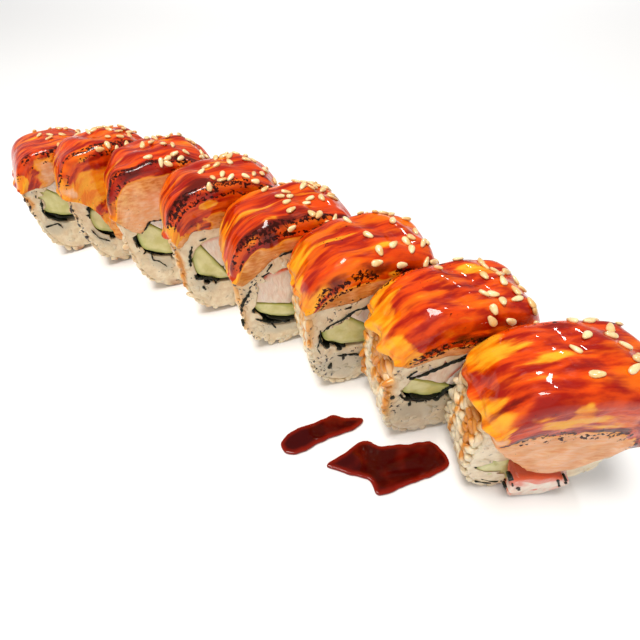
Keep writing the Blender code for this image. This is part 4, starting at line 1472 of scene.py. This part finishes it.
# %% [markdown]
# The finish reads those amounts and tears their edges with streaks that run over the arch. From
# the bottom up it lays flesh, glaze, golden mayonnaise, thick dark glaze and char. One clear
# coat over the glaze makes it wet, and bare flesh and char stay duller.

# %% Salmon finish


def salmon_finish():
    """Flesh, mayonnaise, red-orange glaze and char under one wet coat."""
    f = Finish("salmon")
    run = f.attribute("run", "Vector")
    streaks = f.grain(0.52, 4.0, run, rough=0.50)
    broad = f.grain(0.26, 3.0, run)
    ragged = f.maths("MULTIPLY_ADD", streaks, 1.3)
    ragged.node.inputs[2].default_value = -0.65
    mayo = f.step(f.maths("ADD", f.attribute("mayo"), ragged), 0.20, 0.80)
    dark = f.step(f.maths("SUBTRACT", f.attribute("dark"), ragged), 0.38, 0.85)
    reach = f.maths("ADD", f.attribute("flesh"), ragged)
    thinning = f.step(reach, 0.18, 0.52)
    bare = f.step(reach, 0.42, 0.90)
    glaze = f.blend(f.step(streaks, 0.36, 0.62), (0.35, 0.007, 0.0004), (0.74, 0.060, 0.0005))
    glaze = f.blend(f.step(broad, 0.48, 0.68), glaze, (0.86, 0.145, 0.0012))
    gold = f.blend(f.step(streaks, 0.38, 0.62), (0.90, 0.23, 0.003), (0.97, 0.42, 0.018))
    top = f.blend(mayo, glaze, gold)
    top = f.blend(dark, top, (0.13, 0.006, 0.001))
    top = f.blend(thinning, top, (0.93, 0.33, 0.02))
    fat = f.grain(420.0, 2.0, stretch=(1.0, 1.0, 3.0))
    seared = f.blend(f.step(fat, 0.3, 0.7), (0.66, 0.17, 0.018), (0.92, 0.46, 0.13))
    raw = f.blend(f.step(fat, 0.2, 0.8), (0.94, 0.41, 0.17), (0.97, 0.58, 0.36))
    cut = f.blend(f.attribute("pale"), seared, raw)
    cut = f.blend(f.attribute("torch"), cut, (0.58, 0.16, 0.012))
    base = f.blend(bare, top, cut)
    spots = f.speckle(f.attribute("char"), 1100.0)
    colour = f.blend(spots, base, (0.038, 0.003, 0.0008))
    wet = f.step(f.maths("MAXIMUM", bare, spots), 0.0, 1.0, 0.56, 0.20)
    under = f.bump(streaks, 0.0012, 0.35, f.bump(f.grain(330.0, 2.0), 0.0006, 0.35))
    normal = f.bump(spots, 0.0004, 0.6, under)
    return f.set(
        Base_Color=colour, Roughness=f.step(bare, 0.0, 1.0, 0.30, 0.42),
        Specular_IOR_Level=0.05,
        Subsurface_Weight=0.10, Subsurface_Radius=(0.004, 0.0012, 0.0004),
        Subsurface_Scale=1.0, Coat_Weight=wet, Coat_Roughness=0.035, Normal=normal,
    )


SALMON = salmon_finish()
crowns = []
for index in range(len(SLICES)):
    grid, facts = salmon_arrays(index)
    crowns.append((grid, facts["progress"]))
    name = f"salmon_flap_{index + 1}"
    mesh = grid_mesh(name, grid, cap=True, attributes=salmon_marks(index, facts))
    mesh.transform(slice_place(index))
    put(name, mesh, SALMON, "salmon", f"salmon_{index + 1}")
    print(f"{name}: {len(mesh.polygons)} faces")

# %% [markdown]
# ## Sesame
#
# Toasted sesame lies strewn over the crown of every slice. A seed is a flat drop, three
# millimetres long. The seeds' places are drawn with a fixed seed, and each is laid square to the
# salmon under it. Geometry Nodes then puts one seed on each place and makes it real.

# %% Sesame seeds
SEED_LENGTH = 3.1
SEED_WIDTH = 1.75
SEED_HEIGHT = 1.05
SEED_SPACING = 1.9
SEED_SIDES = 10
SEED_LEAN = 0.30
SEED_LIFT = 0.28
SEED_COUNTS = (18, 26, 28, 28, 34, 26, 26, 17)
# The least, the greatest and the likeliest share of the way over the arch.
SEEDED_SHARES = (0.14, 0.66, 0.40)
LEAST_SEED = (0.85, 0.85, 0.85)
LARGEST_SEED = (1.12, 1.12, 1.1)
EDGE_ROWS = 3
MOST_TRIES = 4000


def seed_object():
    """One sesame seed, pointed at one end and blunt at the other."""
    rings = []
    for along, girth in ((-0.42, 0.35), (-0.28, 0.62), (-0.05, 0.9), (0.2, 1.0), (0.38, 0.78),
                         (0.47, 0.4)):
        side = 2 * math.pi * np.arange(SEED_SIDES) / SEED_SIDES
        rings.append(np.column_stack((
            np.full(SEED_SIDES, along * SEED_LENGTH),
            np.cos(side) * girth * SEED_WIDTH / 2,
            np.sin(side) * girth ** 0.6 * SEED_HEIGHT / 2,
        )))
    mesh = grid_mesh("sesame_seed", np.stack(rings)[:, ::-1], cap=True)
    return bpy.data.objects.new("sesame_seed", mesh)


def seed_tree():
    """One seed on every point, laid square to the surface and turned."""
    tree = new_tree("lay_seeds", (("Seed Object", "NodeSocketObject"),
                                  ("Material", "NodeSocketMaterial")))
    entry = add(tree, "NodeGroupInput").outputs
    points = add(tree, "GeometryNodeMeshToPoints", {"Mesh": entry["Geometry"]})
    square = add(tree, "GeometryNodeInputNamedAttribute", {"Name": "square"},
                 data_type="FLOAT_VECTOR")
    stand = add(tree, "FunctionNodeAlignRotationToVector", {"Vector": square.outputs[0]},
                axis="Z")
    angle = add(tree, "GeometryNodeInputNamedAttribute", {"Name": "turn"}, data_type="FLOAT")
    euler = add(tree, "ShaderNodeCombineXYZ", {"Z": angle.outputs[0]})
    spin = add(tree, "FunctionNodeEulerToRotation", {"Euler": euler.outputs[0]})
    laid = add(tree, "FunctionNodeRotateRotation", {
        "Rotation": stand.outputs[0], "Rotate By": spin.outputs[0],
    }, rotation_space="LOCAL")
    sizes = add(tree, "FunctionNodeRandomValue", {
        "Min": LEAST_SEED, "Max": LARGEST_SEED, "Seed": 5,
    }, data_type="FLOAT_VECTOR")
    seed = add(tree, "GeometryNodeObjectInfo", {"Object": entry["Seed Object"]})
    placed = add(tree, "GeometryNodeInstanceOnPoints", {
        "Points": points.outputs[0], "Instance": seed.outputs["Geometry"],
        "Rotation": laid.outputs[0], "Scale": sizes.outputs[0],
    })
    real = add(tree, "GeometryNodeRealizeInstances", {"Geometry": placed.outputs[0]})
    coated = add(tree, "GeometryNodeSetMaterial", {
        "Geometry": real.outputs[0], "Material": entry["Material"],
    })
    add(tree, "NodeGroupOutput", {"Geometry": coated.outputs[0]})
    return tree


def seed_places(index, grid, progress):
    """Points on the crown, with the way up and a turn for each."""
    draw = random.Random(700 + index)
    places, squares, turns = [], [], []
    tries = 0
    while len(places) < SEED_COUNTS[index] and tries < MOST_TRIES:
        tries += 1
        wanted = draw.triangular(*SEEDED_SHARES)
        column = int(np.argmin(np.abs(progress[:, 0] - wanted)))
        line = draw.randrange(EDGE_ROWS, TOP_ROWS - EDGE_ROWS)
        place = Vector(grid[column, line])
        if any((place - other).length < SEED_SPACING for other in places):
            continue
        across = Vector(grid[column + 2, line]) - Vector(grid[column - 2, line])
        along = Vector(grid[column, line + 2]) - Vector(grid[column, line - 2])
        square = across.cross(along).normalized()
        if square.z < 0:
            square.negate()
        lean = Vector((draw.uniform(-1, 1), draw.uniform(-1, 1), 0)) * SEED_LEAN
        places.append(place)
        squares.append((square + lean).normalized())
        turns.append(draw.uniform(0, 2 * math.pi))
    return places, squares, turns


def sesame_finish():
    """Toasted cream, darker in soft patches."""
    f = Finish("sesame")
    tone = f.grain(350.0, 2.0)
    colour = f.blend(f.step(tone, 0.3, 0.7), (0.82, 0.47, 0.15), (0.97, 0.78, 0.42))
    return f.set(
        Base_Color=colour, Roughness=0.35, Coat_Weight=0.6, Coat_Roughness=0.1,
        Subsurface_Weight=0.15, Subsurface_Radius=(0.001, 0.0007, 0.0004),
        Subsurface_Scale=1.0, Normal=f.bump(f.grain(2500.0, 2.0), 0.0001, 0.4),
    )


SESAME = sesame_finish()
LAY = seed_tree()
SEED = seed_object()
for index, (grid, progress) in enumerate(crowns):
    places, squares, turns = seed_places(index, grid, progress)
    points = bpy.data.meshes.new("places")
    lifted = [(place + square * SEED_LIFT) * MM for place, square in zip(places, squares)]
    points.from_pydata([tuple(place) for place in lifted], [], [])
    layer = points.attributes.new("square", "FLOAT_VECTOR", "POINT")
    layer.data.foreach_set("vector", np.array([tuple(s) for s in squares], np.float32).ravel())
    layer = points.attributes.new("turn", "FLOAT", "POINT")
    layer.data.foreach_set("value", np.array(turns, np.float32))
    seeds = run_tree(LAY, points, {"Seed Object": SEED, "Material": SESAME})
    seeds.name = f"sesame_{index + 1}"
    seeds.transform(slice_place(index))
    put(f"sesame_{index + 1}", seeds, SESAME, "salmon", f"salmon_{index + 1}")
    print(f"slice {index + 1}: {len(places)} seeds")

# %% [markdown]
# ## The pools of sauce
#
# Dark sauce has run off the roll and lies in two thin pools. A pool is flat in the middle and
# rolls down to its edge like any wetting liquid. It is a very dark maroon where it is deep and
# a clearer red where it thins out, so the distance from the edge is kept as an attribute. The
# outline is drawn out to a slab, remeshed finely and smoothed.

# %% Pools
POOL_DEPTH = 1.2
POOL_VOXEL = 0.3
POOL_SMOOTHING = 12
EDGE_STEPS = 12
# Corners of each pool's edge, from above, before the shift of the whole row.
POOL_EDGES = {
    "sauce_streak": ((42, -44.5), (42, -40), (45.5, -33.5), (49.5, -27.5), (53, -26),
                     (57.5, -23.5), (57.5, -27), (53.5, -33.5), (49, -41.5), (45.5, -45.5)),
    "sauce_pool": ((56.5, -42), (59, -36), (61.5, -29.5), (66.5, -28.2), (71.5, -24.2),
                   (77.5, -18.8), (81.5, -19.2), (85, -22.5), (82, -28.5), (77, -35.5),
                   (72.5, -41), (68.5, -39), (62, -41)),
}


def smooth_loop(corners, steps):
    """A closed curve through a few corners, with a number of steps between each two."""
    count = len(corners)
    points = []
    for index in range(count):
        p0, p1, p2, p3 = (Vector(corners[(index + k) % count]) for k in (-1, 0, 1, 2))
        for step in range(steps):
            t = step / steps
            points.append(0.5 * (
                2 * p1 + (p2 - p0) * t
                + (2 * p0 - 5 * p1 + 4 * p2 - p3) * t ** 2
                + (3 * p1 - p0 - 3 * p2 + p3) * t ** 3
            ))
    return points


def make_pool(name, corners, seed):
    """A rounded thin pool: its outline is drawn out, remeshed finely and smoothed."""
    edge = np.array([tuple(point) for point in smooth_loop(corners, EDGE_STEPS)])
    edge += np.array(ROW_SHIFT[:2])
    edge += np.stack((wobble(edge, 3.0, seed), wobble(edge, 3.0, seed + 3)), -1) * 0.5
    grid = np.zeros((2, len(edge), 3))
    grid[:, :, :2] = edge[::-1]
    grid[1, :, 2] = POOL_DEPTH
    block = grid_mesh(name, grid, cap=True)
    carrier = bpy.data.objects.new("carrier", block)
    bpy.context.scene.collection.objects.link(carrier)
    remesh = carrier.modifiers.new("remesh", "REMESH")
    remesh.mode = "VOXEL"
    remesh.voxel_size = POOL_VOXEL * MM
    smooth = carrier.modifiers.new("smooth", "SMOOTH")
    smooth.iterations = POOL_SMOOTHING
    graph = bpy.context.evaluated_depsgraph_get()
    mesh = bpy.data.meshes.new_from_object(carrier.evaluated_get(graph))
    bpy.data.objects.remove(carrier, do_unlink=True)
    points = np.zeros(len(mesh.vertices) * 3)
    mesh.vertices.foreach_get("co", points)
    points = points.reshape(-1, 3) / MM
    distance = np.full(len(points), 1e9)
    for corner in edge:
        distance = np.minimum(distance, np.hypot(*(points[:, :2] - corner).T))
    points[:, 2] = np.maximum(points[:, 2], 0.02)
    mesh.vertices.foreach_set("co", (points * MM).ravel())
    layer = mesh.attributes.new("shore", "FLOAT", "POINT")
    layer.data.foreach_set("value", distance.astype(np.float32))
    mesh.shade_smooth()
    return mesh


def sauce_finish():
    """Dark maroon that thins out to a clearer red at the shore."""
    f = Finish("sauce")
    shore = f.attribute("shore")
    drift = f.grain(160.0, 2.0)
    deep = f.blend(f.step(drift, 0.45, 0.7), (0.048, 0.0008, 0.0004), (0.110, 0.004, 0.001))
    colour = f.blend(f.step(shore, 0.2, 1.8, 1.0, 0.0), deep, (0.22, 0.009, 0.002))
    return f.set(Base_Color=colour, Roughness=0.15, Specular_IOR_Level=0.05,
                 Coat_Weight=0.3, Coat_Roughness=0.02)


SAUCE = sauce_finish()
for order, (node, corners) in enumerate(POOL_EDGES.items()):
    mesh = make_pool(f"{node}_wet", corners, order + 131)
    put(f"{node}_wet", mesh, SAUCE, "sauce", node)
    print(f"{node}: {len(mesh.polygons)} faces")

# %% [markdown]
# ## Finish
#
# At the end the view layer is brought up to date.

# %% Finish
bpy.context.view_layer.update()
